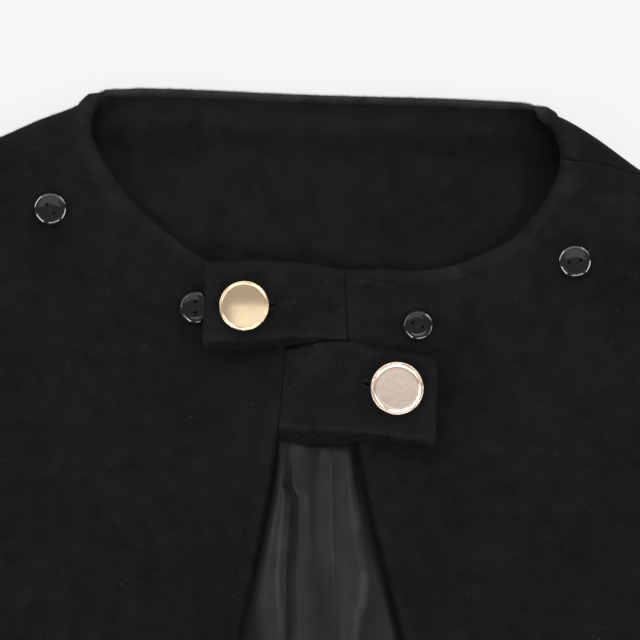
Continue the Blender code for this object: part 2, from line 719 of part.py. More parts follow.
def tab_top(rows, x):
    """The highest that a tab's upper face reaches below a gold button centred at that x."""
    reach = abs(x - rows[0].top_x) + np.linspace(-GOLD_BASE_RADIUS, GOLD_BASE_RADIUS, 9)
    return tab_value(rows, "underside", reach).max() + TAB_CLOTH


def turned(profile, segments):
    """A round body from a profile that starts and ends on its axis."""
    mesh = bmesh.new()
    points = [mesh.verts.new((point.radius, 0.0, point.height)) for point in profile]
    edges = [mesh.edges.new(pair) for pair in zip(points, points[1:])]
    bmesh.ops.spin(
        mesh,
        geom=points + edges,
        cent=(0, 0, 0),
        axis=(0, 0, 1),
        angle=2 * math.pi,
        steps=segments,
        use_merge=True,
    )
    bmesh.ops.remove_doubles(mesh, verts=mesh.verts, dist=1e-6)
    bmesh.ops.recalc_face_normals(mesh, faces=mesh.faces)
    return mesh


def make_gold_button(spot, seat, foot, finish):
    """A domed metal button on a shank that goes through its buttonhole. Seat is its plate's underside."""
    drop = foot - seat
    profile = (
        ProfilePoint(0.0, GOLD_HEIGHT - 0.0002),
        ProfilePoint(0.0060, GOLD_HEIGHT - 0.0003),
        ProfilePoint(GOLD_RADIUS - 0.0019, GOLD_HEIGHT - 0.0007),
        ProfilePoint(GOLD_RADIUS - 0.0010, GOLD_HEIGHT),
        ProfilePoint(GOLD_RADIUS, GOLD_HEIGHT - 0.0012),
        ProfilePoint(GOLD_RADIUS - 0.0003, GOLD_HEIGHT - 0.0026),
        ProfilePoint(GOLD_BASE_RADIUS, 0.0),
        ProfilePoint(SHANK_RADIUS * 1.6, 0.0),
        ProfilePoint(SHANK_RADIUS, -0.0008),
        ProfilePoint(SHANK_RADIUS, drop),
        ProfilePoint(0.0, drop),
    )
    button = finished(spot.name, turned(profile, GOLD_SEGMENTS), finish)
    button.location = (spot.x, LENGTH / 2 - spot.depth, seat)


def nearest_on_front(x, depth):
    """The point of the front and its normal at that place in plan."""
    side = RIGHT if x < 0 else LEFT
    across, down = np.meshgrid(np.linspace(0, 1, 161), np.linspace(0, 0.3, 181))
    plan = front_plan(side, across, down)
    row, column = np.unravel_index(np.argmin(np.hypot(plan[..., 0] - x, plan[..., 1] - depth)), across.shape)
    face = on_garment(plan, front_height(side, across, down))
    return face[row, column], -downward_normals(face)[row, column]


def make_collar_button(spot, finish):
    """A glossy two-hole button with a raised rim, sewn flat to the cloth."""
    profile = (
        ProfilePoint(0.0, 0.0016),
        ProfilePoint(0.0042, 0.0017),
        ProfilePoint(0.0056, 0.0026),
        ProfilePoint(0.0064, BLACK_HEIGHT),
        ProfilePoint(0.0071, 0.0027),
        ProfilePoint(BLACK_RADIUS, 0.0018),
        ProfilePoint(0.0070, 0.0008),
        ProfilePoint(BLACK_BASE_RADIUS, 0.0),
        ProfilePoint(0.0, 0.0),
    )
    button = finished(spot.name, turned(profile, BLACK_SEGMENTS), finish)
    point, normal = nearest_on_front(spot.x, spot.depth)
    lean, way = math.radians(spot.lean), math.radians(spot.lean_way)
    stand = SEAT + BLACK_BASE_RADIUS * math.sin(lean)
    place = (
        Matrix.Translation(point + normal * stand)
        @ Vector(normal).to_track_quat("Z", "Y").to_matrix().to_4x4()
        @ Matrix.Rotation(lean, 4, (math.cos(way), math.sin(way), 0.0))
        @ Matrix.Rotation(math.radians(spot.turn), 4, "Z")
    )
    button.matrix_world = place
    for hole_x in (-BLACK_HOLE_SPACING / 2, BLACK_HOLE_SPACING / 2):
        cutter = finished(f"{spot.name}_cutter", hole_cutter(), finish)
        cutter.hide_render = True
        cutter.display_type = "WIRE"
        cutter.matrix_world = place @ Matrix.Translation((hole_x, 0.0, BLACK_HEIGHT / 2))
        hole = button.modifiers.new("Hole", "BOOLEAN")
        hole.operation = "DIFFERENCE"
        hole.object = cutter


def hole_cutter():
    """A short round rod for a thread hole."""
    mesh = bmesh.new()
    bmesh.ops.create_cone(
        mesh,
        cap_ends=True,
        segments=8,
        radius1=BLACK_HOLE_RADIUS,
        radius2=BLACK_HOLE_RADIUS,
        depth=BLACK_HEIGHT * 2,
    )
    return mesh


def main():
    """Builds every piece of the cloak."""
    clear_scene()
    make_back(BLACK_WOOL)
    make_facing(BLACK_WOOL)
    make_lining(DARK_SATIN)
    for side in (RIGHT, LEFT):
        make_front(side, BLACK_WOOL)
    for spot, name, rows in ((UPPER_GOLD, "upper_tab", UPPER_TAB), (LOWER_GOLD, "lower_tab", LOWER_TAB)):
        make_tab(name, rows, spot, BLACK_WOOL)
        foot = nearest_on_front(spot.x, spot.depth)[0][2] + GAP
        make_gold_button(spot, tab_top(rows, spot.x) + GAP, foot, PALE_GOLD)
    for spot in COLLAR_BUTTONS:
        make_collar_button(spot, BLACK_PLASTIC)


main()
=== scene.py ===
"""The looks of a black wool cloak that lies on its back, with its two neck tabs buttoned across the front.

Metres, +Z up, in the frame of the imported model. +Y runs up the garment to its neck and +X towards the
wearer's left. A plan point is an x and a depth, measured down from the top of the back neck edge.
"""

import logging
import math
from dataclasses import dataclass
from enum import Enum
from typing import Callable, Sequence

import bmesh
import bpy
import numpy as np
from mathutils import Matrix, Vector
from mathutils.bvhtree import BVHTree

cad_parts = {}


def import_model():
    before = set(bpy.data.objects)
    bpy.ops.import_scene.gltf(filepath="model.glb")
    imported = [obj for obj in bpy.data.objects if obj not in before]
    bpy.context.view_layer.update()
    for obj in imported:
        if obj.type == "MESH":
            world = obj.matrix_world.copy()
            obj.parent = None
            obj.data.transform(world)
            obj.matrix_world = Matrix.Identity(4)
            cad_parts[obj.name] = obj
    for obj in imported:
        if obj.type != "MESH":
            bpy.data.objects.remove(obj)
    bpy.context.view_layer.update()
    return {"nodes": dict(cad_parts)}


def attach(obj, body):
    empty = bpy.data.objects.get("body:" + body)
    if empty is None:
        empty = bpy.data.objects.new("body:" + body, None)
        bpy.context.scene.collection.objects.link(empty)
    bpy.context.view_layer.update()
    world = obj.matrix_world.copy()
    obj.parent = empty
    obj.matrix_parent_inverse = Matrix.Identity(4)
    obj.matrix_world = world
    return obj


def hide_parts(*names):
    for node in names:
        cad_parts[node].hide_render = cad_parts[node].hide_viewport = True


LOG = logging.getLogger("cloak")
Grid = np.ndarray
Pair = tuple[float, float]
Colour = tuple[float, float, float]
Curve = Callable[[Grid], Grid]
Object = bpy.types.Object
Material = bpy.types.Material
Socket = bpy.types.NodeSocket

BODY = "root"


class Side(Enum):
    """A side of the wearer, by the sign of its x."""

    RIGHT = -1
    LEFT = 1

    def of(self, pair: Pair) -> float:
        """Returns this side's one of two values, for right and left."""
        return pair[self is Side.LEFT]


@dataclass(frozen=True)
class Flute:
    """A soft wave in a front, deepest at the hem. Its place and width are shares of the way to the side."""

    across: float
    height: float
    width: float
    start: float  # share of the way down at which it starts

    def rise(self, across: Grid, down: Grid) -> Grid:
        """Returns how high it stands at those shares."""
        wave = np.cos(np.clip((across - self.across) / self.width, -1, 1) * math.pi / 2) ** 2
        return self.height * wave * smoothstep(self.start, 1.1, down)


@dataclass(frozen=True)
class Crease:
    """A soft ridge, or a trough below zero, along a bowed line in plan, fading out at both ends."""

    start: Pair
    end: Pair
    width: float
    height: float
    bow: float = 0.0  # how far its middle lies off the straight line, to its left

    def relief(self, x: Grid, depth: Grid) -> Grid:
        """Works out the height that it adds.

        Args:
            x: The points' x.
            depth: Their depth.

        Returns:
            The height at each point.
        """
        run = np.subtract(self.end, self.start)
        length = float(np.hypot(*run))
        along = ((x - self.start[0]) * run[0] + (depth - self.start[1]) * run[1]) / length**2
        off = ((x - self.start[0]) * run[1] - (depth - self.start[1]) * run[0]) / length
        inside = np.clip(along, 0, 1)
        off = off - self.bow * 4 * inside * (1 - inside)
        ends = smoothstep(0.0, 0.28, along) * smoothstep(0.0, 0.28, 1 - along)
        return self.height * bell(off, self.width) * ends


# The outermost line of the shoulder and side folds, from the neck corner to the hem
SIDE_LINE = {
    Side.RIGHT: (
        (-0.1134, 0.0024), (-0.1208, 0.0086), (-0.1383, 0.016), (-0.1554, 0.0239), (-0.223, 0.0545),
        (-0.297, 0.11), (-0.354, 0.205), (-0.403, 0.356), (-0.454, 0.557), (-0.52, 0.802),
    ),
    Side.LEFT: (
        (0.1107, 0.0095), (0.1179, 0.0145), (0.1376, 0.0273), (0.1542, 0.0394), (0.219, 0.0855),
        (0.291, 0.152), (0.349, 0.238), (0.402, 0.368), (0.454, 0.559), (0.52, 0.802),
    ),
}
# The front edges, from the neck to the hem
FRONT_EDGES = {
    Side.RIGHT: (
        (-0.0145, 0.0905), (-0.0166, 0.126), (-0.0205, 0.1728), (-0.0373, 0.2639), (-0.155, 0.8515),
    ),
    Side.LEFT: ((0.0121, 0.0905), (0.0136, 0.1257), (0.0177, 0.1728), (0.038, 0.2639), (0.16, 0.8514)),
}
# The fronts' neck edges, from front edge to fold
NECKLINES = {
    Side.RIGHT: (
        (-0.05, 0.088), (-0.0717, 0.0745), (-0.0975, 0.049), (-0.108, 0.0325), (-0.112, 0.0215),
    ),
    Side.LEFT: (
        (0.03, 0.0902), (0.0464, 0.0908), (0.062, 0.089), (0.0774, 0.0832), (0.093, 0.0752),
        (0.1015, 0.0668), (0.1115, 0.053), (0.1158, 0.042), (0.1164, 0.035), (0.114, 0.0265),
    ),
}
BACK_NECK_EDGE = (
    (-0.101, -0.0006), (-0.091, -0.0012), (-0.078, -0.001), (-0.0099, 0.002),
    (0.0145, 0.0028), (0.0641, 0.0042), (0.094, 0.0057), (0.1, 0.006),
)
FACING_FOOT = ((-0.085, 0.105), (0.000, 0.135), (0.085, 0.113))
FLUTES = {
    Side.RIGHT: (Flute(0.2, 0.006, 0.1, 0.45), Flute(0.48, 0.009, 0.12, 0.3), Flute(0.76, 0.007, 0.1, 0.4)),
    Side.LEFT: (Flute(0.16, 0.005, 0.09, 0.5), Flute(0.43, 0.01, 0.13, 0.28), Flute(0.73, 0.007, 0.1, 0.42)),
}


def smoothstep(low: float, high: float, value: Grid) -> Grid:
    """Returns 0 below low, 1 above high, and a smooth share between them."""
    share = np.clip((np.asarray(value) - low) / (high - low), 0.0, 1.0)
    return share * share * (3 - 2 * share)


def bell(value: Grid, width: float, middle: float = 0.0) -> Grid:
    """Returns 1 at the middle, fading out smoothly over the width on both sides."""
    return np.exp(-(((value - middle) / width) ** 2))


def unit(vectors: Grid) -> Grid:
    """Returns the vectors at unit length."""
    return vectors / np.linalg.norm(vectors, axis=-1, keepdims=True)


def looked_up(place: Grid, places: Grid, rows: Grid) -> Grid:
    """Returns a table's rows, interpolated at those places."""
    return np.stack([np.interp(place, places, column) for column in rows.T], axis=-1)


def rounded(distance: Grid, radius: float, power: float | Grid = 2.0) -> Grid:
    """Returns the share of its thickness that cloth has near an edge: half round for 2, squarer for more."""
    inside = 1 - np.clip(distance / radius, 0, 1)
    return (1 - inside**power) ** (1 / np.asarray(power))


def unevenness(x: Grid, y: Grid, wavelength: float, seed: int) -> Grid:
    """Makes smooth random relief.

    Args:
        x: First coordinate of the points.
        y: Second coordinate.
        wavelength: The size of its lumps.
        seed: Which of the random reliefs it is.

    Returns:
        The relief at each point, between about -1 and 1.
    """
    lattice = np.random.default_rng(seed).uniform(-1, 1, (64, 64))
    u, v = np.asarray(x) / wavelength, np.asarray(y) / wavelength
    column, row = np.floor(u).astype(int), np.floor(v).astype(int)
    du, dv = (share * share * (3 - 2 * share) for share in (u - column, v - row))
    corner = [[lattice[(row + j) % 64, (column + i) % 64] for i in (0, 1)] for j in (0, 1)]
    upper, lower = (left * (1 - du) + right * du for left, right in corner)
    return upper * (1 - dv) + lower * dv


def soft_unevenness(x: Grid, y: Grid, seed: int) -> Grid:
    """Returns the low lumps and hollows of heavy wool that has been handled."""
    return 0.00034 * unevenness(x, y, 0.052, seed) + 0.00021 * unevenness(x, y, 0.026, seed + 1)


def edge_steps(radius: float, spacing: float, count: int) -> list[float]:
    """Returns distances from a turned edge, close together where it rounds, and that many steps on."""
    round_part = [radius * share for share in (0.0, 0.012, 0.05, 0.13, 0.26, 0.45, 0.7, 1.0)]
    return round_part + [radius + spacing * (k + 1) for k in range(count)]


def paced(places: Sequence[float], *stretches: Pair) -> list[float]:
    """Makes distances that go on from some.

    Args:
        places: The distances so far.
        stretches: Where each stretch ends, and its step.

    Returns:
        All the distances.
    """
    made = list(places)
    for end, step in stretches:
        count = max(1, round((end - made[-1]) / step))
        made += np.linspace(made[-1], end, count + 1)[1:].tolist()
    return made


def distance_from(points: Grid, line: Grid) -> Grid:
    """Measures how far points lie from a line.

    Args:
        points: The points.
        line: The points that the line goes through.

    Returns:
        The distance of each point.
    """
    flat = points.reshape(-1, points.shape[-1])
    best = np.full(len(flat), np.inf)
    for start, end in zip(line[:-1], line[1:]):
        run = end - start
        length = float(run @ run)
        if length < 1e-14:
            continue
        share = np.clip((flat - start) @ run / length, 0, 1)
        best = np.minimum(best, np.linalg.norm(flat - start - share[:, None] * run, axis=1))
    return best.reshape(points.shape[:-1])


def rim_distances(grid: Grid) -> list[Grid]:
    """Returns how far a grid's points lie from its first row, last row, first column and last column."""
    return [distance_from(grid, rim) for rim in (grid[0], grid[-1], grid[:, 0], grid[:, -1])]


def walls(base: Grid, normal: Grid, thick: Grid, swell: Grid) -> tuple[Grid, Grid]:
    """Makes the two sides of cloth that lies on a surface.

    Args:
        base: Points of the surface.
        normal: The directions out of it.
        thick: The cloth's thickness along them.
        swell: The share of it that the cloth has near its edges.

    Returns:
        Points of the far side and of the near side.
    """
    middle = base + normal * (thick / 2)[..., None]
    half = normal * (thick / 2 * swell)[..., None]
    return middle + half, middle - half


def turned_edge(distance: Grid, u: Grid, v: Grid, seed: int) -> Grid:
    """Works out the relief of a turned edge: a soft ridge, and a trough where the turned cloth ends.

    Args:
        distance: Each point's distance from it.
        u: Its first coordinate on the cloth.
        v: Its second one.
        seed: Which unevenness it has.

    Returns:
        The height at each point.
    """
    uneven = unevenness(u, v, 0.019, seed)
    ends = 0.0079 + 0.0007 * unevenness(u, v, 0.031, seed + 1)
    ridge = 0.00085 * (1 - smoothstep(ends - 0.0014, ends + 0.001, distance))
    return ridge * (1 + 0.3 * uneven) - 0.0003 * bell(distance - ends, 0.0014, 0.0009) * (1 + 0.9 * uneven)


def edge_wear_and_highlight(distance: Grid, u: Grid, v: Grid, seed: int, band: float | Grid = 0.04) -> Grid:
    """Works out how much a turned edge and the band beside it are lightened: rubbed nap, and painted
    highlight where the edge catches the light.

    Args:
        distance: Each point's distance from it.
        u: Its first coordinate on the cloth.
        v: Its second one.
        seed: Which unevenness it has.
        band: How much the whole width of the turned cloth is lightened.

    Returns:
        The wear and painted highlight at each point.
    """
    over_turn = band * (1 - smoothstep(0.006, 0.0105, distance))
    # Rubbed nap and painted highlight, strongest right at the edge.
    rubbed = over_turn + 0.067 * np.exp(-distance / 0.003) + 0.084 * np.exp(-distance / 0.0008)
    return np.clip(rubbed * (0.8 + 0.4 * unevenness(u, v, 0.012, seed)), 0, 1)


def neck_corner_highlight(x: Grid, depth: Grid) -> Grid:
    """Returns the painted highlight round both corners of the neck, where the rolled edge is lit."""
    away = (np.abs(x) - 0.109) ** 2 + (depth - 0.004) ** 2
    return np.where(x < 0, 0.13, 0.075) * np.exp(-away / 0.0095**2)


def roll_corner_highlight(x: Grid, depth: Grid) -> Grid:
    """Returns the painted highlight on the back's rolled edge as it rises to the wearer's right fold."""
    return np.exp(-(((x + 0.1092) / 0.0036) ** 2) - ((depth - 0.0034) / 0.003) ** 2)


class Line:
    """A smooth line in plan through a few points, read by its share of the length."""

    STEPS = 40
    NUDGE = 0.002

    def __init__(self, points: Sequence[Sequence[float]]) -> None:
        """Fits the line.

        Args:
            points: The points that it goes through, in order.
        """
        knots = np.array([(p[0], p[1]) for p in points], float)
        spans = np.linalg.norm(np.diff(knots, axis=0), axis=1)
        slopes = np.diff(knots, axis=0) / spans[:, None]
        tangents = np.vstack([slopes[:1], np.zeros((len(knots) - 2, 2)), slopes[-1:]])
        for i in range(1, len(knots) - 1):
            before, after = spans[i - 1], spans[i]
            tangents[i] = (slopes[i - 1] * after + slopes[i] * before) / (before + after)
        share = np.linspace(0, 1, self.STEPS, endpoint=False)[:, None]
        pieces = []
        for i, span in enumerate(spans):
            pieces.append(
                knots[i] * (1 + 2 * share) * (1 - share) ** 2
                + knots[i + 1] * share**2 * (3 - 2 * share)
                + tangents[i] * span * share * (1 - share) ** 2
                - tangents[i + 1] * span * share**2 * (1 - share)
            )
        self.points = np.vstack([*pieces, knots[-1:]])
        lengths = np.linalg.norm(np.diff(self.points, axis=0), axis=1)
        self.along = np.concatenate([[0], np.cumsum(lengths)])
        self.length = float(self.along[-1])

    def at(self, share: Grid | float) -> Grid:
        """Returns the plan points at those shares of the line's length."""
        return looked_up(np.asarray(share) * self.length, self.along, self.points)

    def x_at(self, depth: Grid) -> Grid:
        """Returns the line's x at those depths."""
        return np.interp(depth, self.points[:, 1], self.points[:, 0])

    def second_at(self, first: Grid) -> Grid:
        """Returns the second coordinate of the line's points where the first one is that."""
        return np.interp(first, self.points[:, 0], self.points[:, 1])

    def direction(self, share: Grid | float) -> Grid:
        """Returns the unit direction of the line at those shares."""
        ahead = self.at(np.minimum(np.asarray(share) + self.NUDGE, 1.0))
        return unit(ahead - self.at(np.maximum(np.asarray(share) - self.NUDGE, 0.0)))


def coons(across: Grid, down: Grid, top: Curve, foot: Curve, near: Curve, far: Curve) -> Grid:
    """Makes a patch between four lines.

    Args:
        across: Shares of the way across it.
        down: Shares of the way down it.
        top: The line across its top.
        foot: The line across its foot.
        near: The line down its near side.
        far: The line down its far side.

    Returns:
        Plan points.
    """
    across, down = np.broadcast_arrays(np.asarray(across, float), np.asarray(down, float))
    a, d = across[..., None], down[..., None]
    corners = (1 - a) * (1 - d) * near(0.0) + a * (1 - d) * far(0.0)
    corners = corners + (1 - a) * d * near(1.0) + a * d * far(1.0)
    return (1 - d) * top(across) + d * foot(across) + (1 - a) * near(down) + a * far(down) - corners


@dataclass
class CloakForm:
    """The lying garment's form: its outline in plan, its folds at the sides and how high its cloth lies."""

    length: float = 0.857
    half_width: float = 0.52  # of the hem
    hem_rise: float = 0.055  # how much higher the hem is at the sides
    hem_power: float = 2.6
    wool: float = 0.0026
    turned_wool: float = 0.0042
    hem_turn: float = 0.038
    hem_softness: float = 0.004
    neck_edge_cloth: float = 0.005
    fold_reach: float = 0.0065  # how far a side fold bulges in plan
    fold_height: float = 0.013
    lying_height: float = 0.0092
    rise_from: float = 0.45  # share across a front at which it starts to rise to its fold
    neck_curl: float = 0.0045
    neck_curl_reach: float = 0.028
    neck_lift_share: float = 0.13  # of the side, over which its fold sinks from the neck
    corner_reach: float = 0.016  # of the neck corner's form along the shoulder
    corner_slant: float = 0.0076  # how far the neck edge crosses the fold aslant
    seam_crosses_at: float = 0.07  # where along the shoulder its seam reaches the fold's outermost line
    corner_softness: float = 0.0042
    corner_fade: float = 0.024
    neck_fold_height: Pair = (0.018, 0.021)  # right and left
    seam_on_front: Pair = (0.0, 0.038)  # how far onto each front the shoulder seam lies at the neck
    seam_gap: float = 0.0001
    seam_round: float = 0.0007
    edge_round: float = 0.0021
    panel: float = 0.9  # length of the panels

    def __post_init__(self) -> None:
        """Fits the lines that the panels run between."""
        self.quarter = self.fold_reach * math.pi / 2
        self.outline = {side: Line(SIDE_LINE[side]) for side in Side}
        self.front_edge = {side: Line(FRONT_EDGES[side]) for side in Side}
        self.neck = {
            side: Line([self.front_edge[side].at(0.0), *NECKLINES[side], self.fold_head(side, 0.0)])
            for side in Side
        }
        right, left = (self.fold_foot(side, 0.0) for side in Side)
        self.back_neck = Line([right, *BACK_NECK_EDGE, left])
        self.rows_down = np.linspace(0, 1, 241) ** 1.5
        self.row_lengths = {}
        for side in Side:
            rows = self.front_plan(side, np.linspace(0, 1, 33)[:, None], self.rows_down[None, :])
            self.row_lengths[side] = np.linalg.norm(np.diff(rows, axis=0), axis=-1).sum(axis=0)
        self.shift_places = np.linspace(-0.045, 0.055, 401)
        self.shifts = {side: np.zeros((401, 3)) for side in Side}
        self.shifts = {side: self.corner_shifts(side) for side in Side}

    def panel_rows(self, fine: float = 1.0) -> Grid:
        """Lays out the rows of the big panels.

        Args:
            fine: Factor on the steps away from the edges.

        Returns:
            Their shares of the way down, from 0 to 1.
        """
        last = edge_steps(self.edge_round, 0.0015, 3)
        end = self.panel - last[-1]
        stretches = ((0.1, 0.002 * fine), (0.3, 0.003 * fine), (end - 0.045, 0.0065 * fine), (end, 0.004))
        places = paced(edge_steps(self.edge_round, 0.0009, 11), *stretches)
        places += [self.panel - place for place in reversed(last[:-1])]
        return np.array(places) / self.panel

    def hem_depth(self, x: Grid) -> Grid:
        """Returns the depth of the hem line at that distance from the centre."""
        return self.length - self.hem_rise * (np.abs(x) / self.half_width) ** self.hem_power

    def neck_corner(self, side: Side, down: Grid) -> Grid:
        """Returns 1 at the neck corner of the shoulder, and 0 past it."""
        reach = self.corner_reach / self.outline[side].length
        return 1 - smoothstep(0.0, reach, np.asarray(down))[..., None]

    def outward(self, side: Side, down: Grid) -> Grid:
        """Finds the way in which a side fold bulges in plan.

        Args:
            side: The wearer's side.
            down: Shares of the way down the side.

        Returns:
            The unit direction at each share.
        """
        along = self.outline[side].direction(down)
        square = np.stack([along[..., 1], -along[..., 0]], axis=-1) * side.value
        sideways = self.neck_corner(side, down)
        return unit(square * (1 - sideways) + np.array([side.value, 0.0]) * sideways)

    def fold_foot(self, side: Side, down: Grid) -> Grid:
        """Returns where the side fold meets the back, in plan."""
        slant = np.array([0.0, self.corner_slant]) * self.neck_corner(side, down)
        return self.outline[side].at(down) - self.outward(side, down) * self.fold_reach - slant / 2

    def fold_head(self, side: Side, down: Grid) -> Grid:
        """Returns where the side fold meets the front above it, in plan."""
        slant = np.array([0.0, self.corner_slant]) * self.neck_corner(side, down)
        return self.fold_foot(side, down) + slant

    def hem_between(self, start: Grid, end: Grid) -> Curve:
        """Returns a function for the hem between two points, along its curve."""

        def at(share: Grid) -> Grid:
            """Returns the plan points at those shares of the way."""
            x = start[0] + (end[0] - start[0]) * share
            first, last = (point[1] - self.hem_depth(point[0]) for point in (start, end))
            return np.stack([x, self.hem_depth(x) + (first * (1 - share) + last * share)], axis=-1)

        return at

    def side_from(self, side: Side, first: float = 0.0, inset: float = 0.0) -> Curve:
        """Returns a function for the foot of a side fold from a share of its length on, moved inwards."""

        def at(share: Grid) -> Grid:
            """Returns the plan points at those shares of the way."""
            down = first + (1 - first) * np.asarray(share)
            return self.fold_foot(side, down) - self.outward(side, down) * inset

        return at

    def front_plan(self, side: Side, across: Grid, down: Grid) -> Grid:
        """Returns plan points of a front, from its front edge (0) to its side fold (1)."""
        edge, head = self.front_edge[side].at, lambda share: self.fold_head(side, share)
        return coons(across, down, self.neck[side].at, self.hem_between(edge(1.0), head(1.0)), edge, head)

    def back_plan(self, across: Grid, down: Grid) -> Grid:
        """Returns plan points of the back, from the wearer's right fold (0) to the left one (1)."""
        right, left = (self.side_from(side) for side in Side)
        return coons(across, down, self.back_neck.at, self.hem_between(right(1.0), left(1.0)), right, left)

    def back_underside(self, plan: Grid) -> Grid:
        """Returns the height of the back's right side: flat, and curled up along the neck edge."""
        below_edge = plan[..., 1] - self.back_neck.second_at(plan[..., 0])
        return self.neck_curl * (1 - smoothstep(0.0, self.neck_curl_reach, below_edge))

    def hem_share(self, plan: Grid) -> Grid:
        """Returns 1 where the hem is turned up, and 0 above it."""
        from_hem = self.hem_depth(plan[..., 0]) - plan[..., 1]
        return 1 - smoothstep(self.hem_turn - self.hem_softness, self.hem_turn + self.hem_softness, from_hem)

    def back_cloth(self, plan: Grid) -> Grid:
        """Returns the thickness of the back away from its neck edge."""
        return self.wool + (self.turned_wool - self.wool) * self.hem_share(plan)

    def fold_top(self, side: Side, down: Grid) -> Grid:
        """Returns the height of the top of the side fold."""
        lift = side.of(self.neck_fold_height) - self.fold_height
        return self.fold_height + lift * (1 - smoothstep(0.0, self.neck_lift_share, down))

    def front_height(self, side: Side, across: Grid, down: Grid) -> Grid:
        """Works out how high a front's right side lies.

        Args:
            side: The wearer's side.
            across: Shares of the way from its front edge to its fold.
            down: Shares of the way down.

        Returns:
            The height at each point.
        """
        turned_up = self.hem_share(self.front_plan(side, across, down))
        height = self.lying_height + (self.turned_wool - self.wool) * turned_up
        height = height + (self.fold_top(side, down) - height) * smoothstep(self.rise_from, 1.0, across)
        for flute in FLUTES[side]:
            height = height + flute.rise(across, down)
        return height

    def corner_shifts(self, side: Side) -> Grid:
        """Finds how far the neck edge has to move for its corner on the shoulder to be round.

        Args:
            side: The wearer's side.

        Returns:
            The way to move each place of the neck edge.
        """
        wide = np.linspace(-0.075, 0.085, 641)
        rim = self.ring_points(side, wide, np.zeros_like(wide))
        inside = wide < -self.quarter
        past = (-self.quarter - wide[inside]) / self.back_neck.length
        flat = self.back_neck.at(past if side is Side.RIGHT else 1 - past)
        rim[inside] = self.placed(flat, self.back_underside(flat))
        reach = np.exp(-(((wide - 0.004) / 0.026) ** 4))
        kernel = np.exp(-((np.arange(-60, 61) * 0.00025 / self.corner_softness) ** 2) / 2)
        kernel /= kernel.sum()
        ends = np.pad(rim, ((60, 60), (0, 0)), mode="edge")
        smooth = np.stack([np.convolve(column, kernel, mode="valid") for column in ends.T], axis=-1)
        return looked_up(self.shift_places, wide, (smooth - rim) * reach[:, None])

    def corner_shift(self, side: Side, place: Grid, down: Grid) -> Grid:
        """Returns how far points near the neck corner move, by their place round it and share of the way."""
        fade = 1 - smoothstep(0.0, self.corner_fade, down * self.outline[side].length)
        return looked_up(place, self.shift_places, self.shifts[side]) * fade[..., None]

    def placed(self, plan: Grid, height: Grid) -> Grid:
        """Returns points of the frame from plan points and heights."""
        return np.stack([plan[..., 0], self.length / 2 - plan[..., 1], height + 0 * plan[..., 0]], axis=-1)

    def plan_of(self, points: Grid) -> Grid:
        """Returns the plan points of points of the frame."""
        return np.stack([points[..., 0], self.length / 2 - points[..., 1]], axis=-1)

    def laid(self, plan: Grid, height: Grid, down: Grid) -> Grid:
        """Places a layer of the back, moved near both neck corners as the neck edge is.

        Args:
            plan: Its plan points, by rows and columns.
            height: Their heights.
            down: Their shares of the way down the sides.

        Returns:
            Points of the frame.
        """
        points = self.placed(plan, height)
        for side, end in ((Side.RIGHT, 0), (Side.LEFT, -1)):
            place = -self.quarter - np.abs(plan[..., 0] - plan[:, end, 0][:, None])
            points = points + self.corner_shift(side, place, down)
        return points

    def seam_place(self, side: Side, down: Grid) -> Grid:
        """Returns how far the side seam lies past the fold's outermost line, on the front."""
        along = np.asarray(down) * self.outline[side].length
        return side.of(self.seam_on_front) * (1 - np.clip(along / self.seam_crosses_at, 0, 1))

    def row_length(self, side: Side, down: Grid) -> Grid:
        """Returns the length of a front's row from its front edge to the foot of the side fold."""
        return np.interp(down, self.rows_down, self.row_lengths[side])

    def ring_points(self, side: Side, place: Grid, down: Grid) -> Grid:
        """Places points of the cloth round a side fold.

        Args:
            side: The wearer's side.
            place: Distance from the fold's outermost line, and positive on the front.
            down: Share of the way down the side.

        Returns:
            Points of the right side of the cloth.
        """
        place, down = np.broadcast_arrays(np.asarray(place, float), np.asarray(down, float))
        foot, head = self.fold_foot(side, down), self.fold_head(side, down)
        low, high = self.back_underside(foot), self.fold_top(side, down)
        angle = np.clip(place / self.quarter, -1, 1) * math.pi / 2
        rise = (1 + np.sin(angle))[..., None] / 2
        bulge = self.outward(side, down) * (self.fold_reach * np.cos(angle))[..., None]
        height = (low + high) / 2 + (high - low) / 2 * np.sin(angle)
        arc = self.placed(foot + (head - foot) * rise + bulge, height)
        across = 1 - np.clip(place - self.quarter, 0, None) / self.row_length(side, down)
        flat = self.placed(self.front_plan(side, across, down), self.front_height(side, across, down))
        points = np.where((place > self.quarter)[..., None], flat, arc)
        return points + self.corner_shift(side, place, down)

    def ring_normals(self, side: Side, place: Grid, down: Grid) -> Grid:
        """Finds the normals of the same points.

        Args:
            side: The wearer's side.
            place: Distance from the fold's outermost line.
            down: Share of the way down the side.

        Returns:
            Unit normals, away from the inside of the fold.
        """
        nudge = 0.0006
        ahead, behind = np.minimum(down + nudge, 1.0), np.maximum(down - nudge, 0.0)
        along_row = self.ring_points(side, place + nudge, down) - self.ring_points(side, place - nudge, down)
        down_row = self.ring_points(side, place, ahead) - self.ring_points(side, place, behind)
        return unit(np.cross(along_row, down_row) * side.value)


def new_piece(name: str, points: Grid, faces: Sequence[Sequence[int]], finish: Material) -> Object:
    """Makes a closed mesh with its faces outwards.

    Args:
        name: The piece's name.
        points: Its points.
        faces: The points of each face.
        finish: Its material.

    Returns:
        The new object, in the scene.
    """
    mesh = bpy.data.meshes.new(name)
    mesh.from_pydata(points.tolist(), [], faces)
    work = bmesh.new()
    work.from_mesh(mesh)
    bmesh.ops.recalc_face_normals(work, faces=work.faces)
    work.to_mesh(mesh)
    work.free()
    mesh.materials.append(finish)
    piece = bpy.data.objects.new(name, mesh)
    bpy.context.scene.collection.objects.link(piece)
    return piece


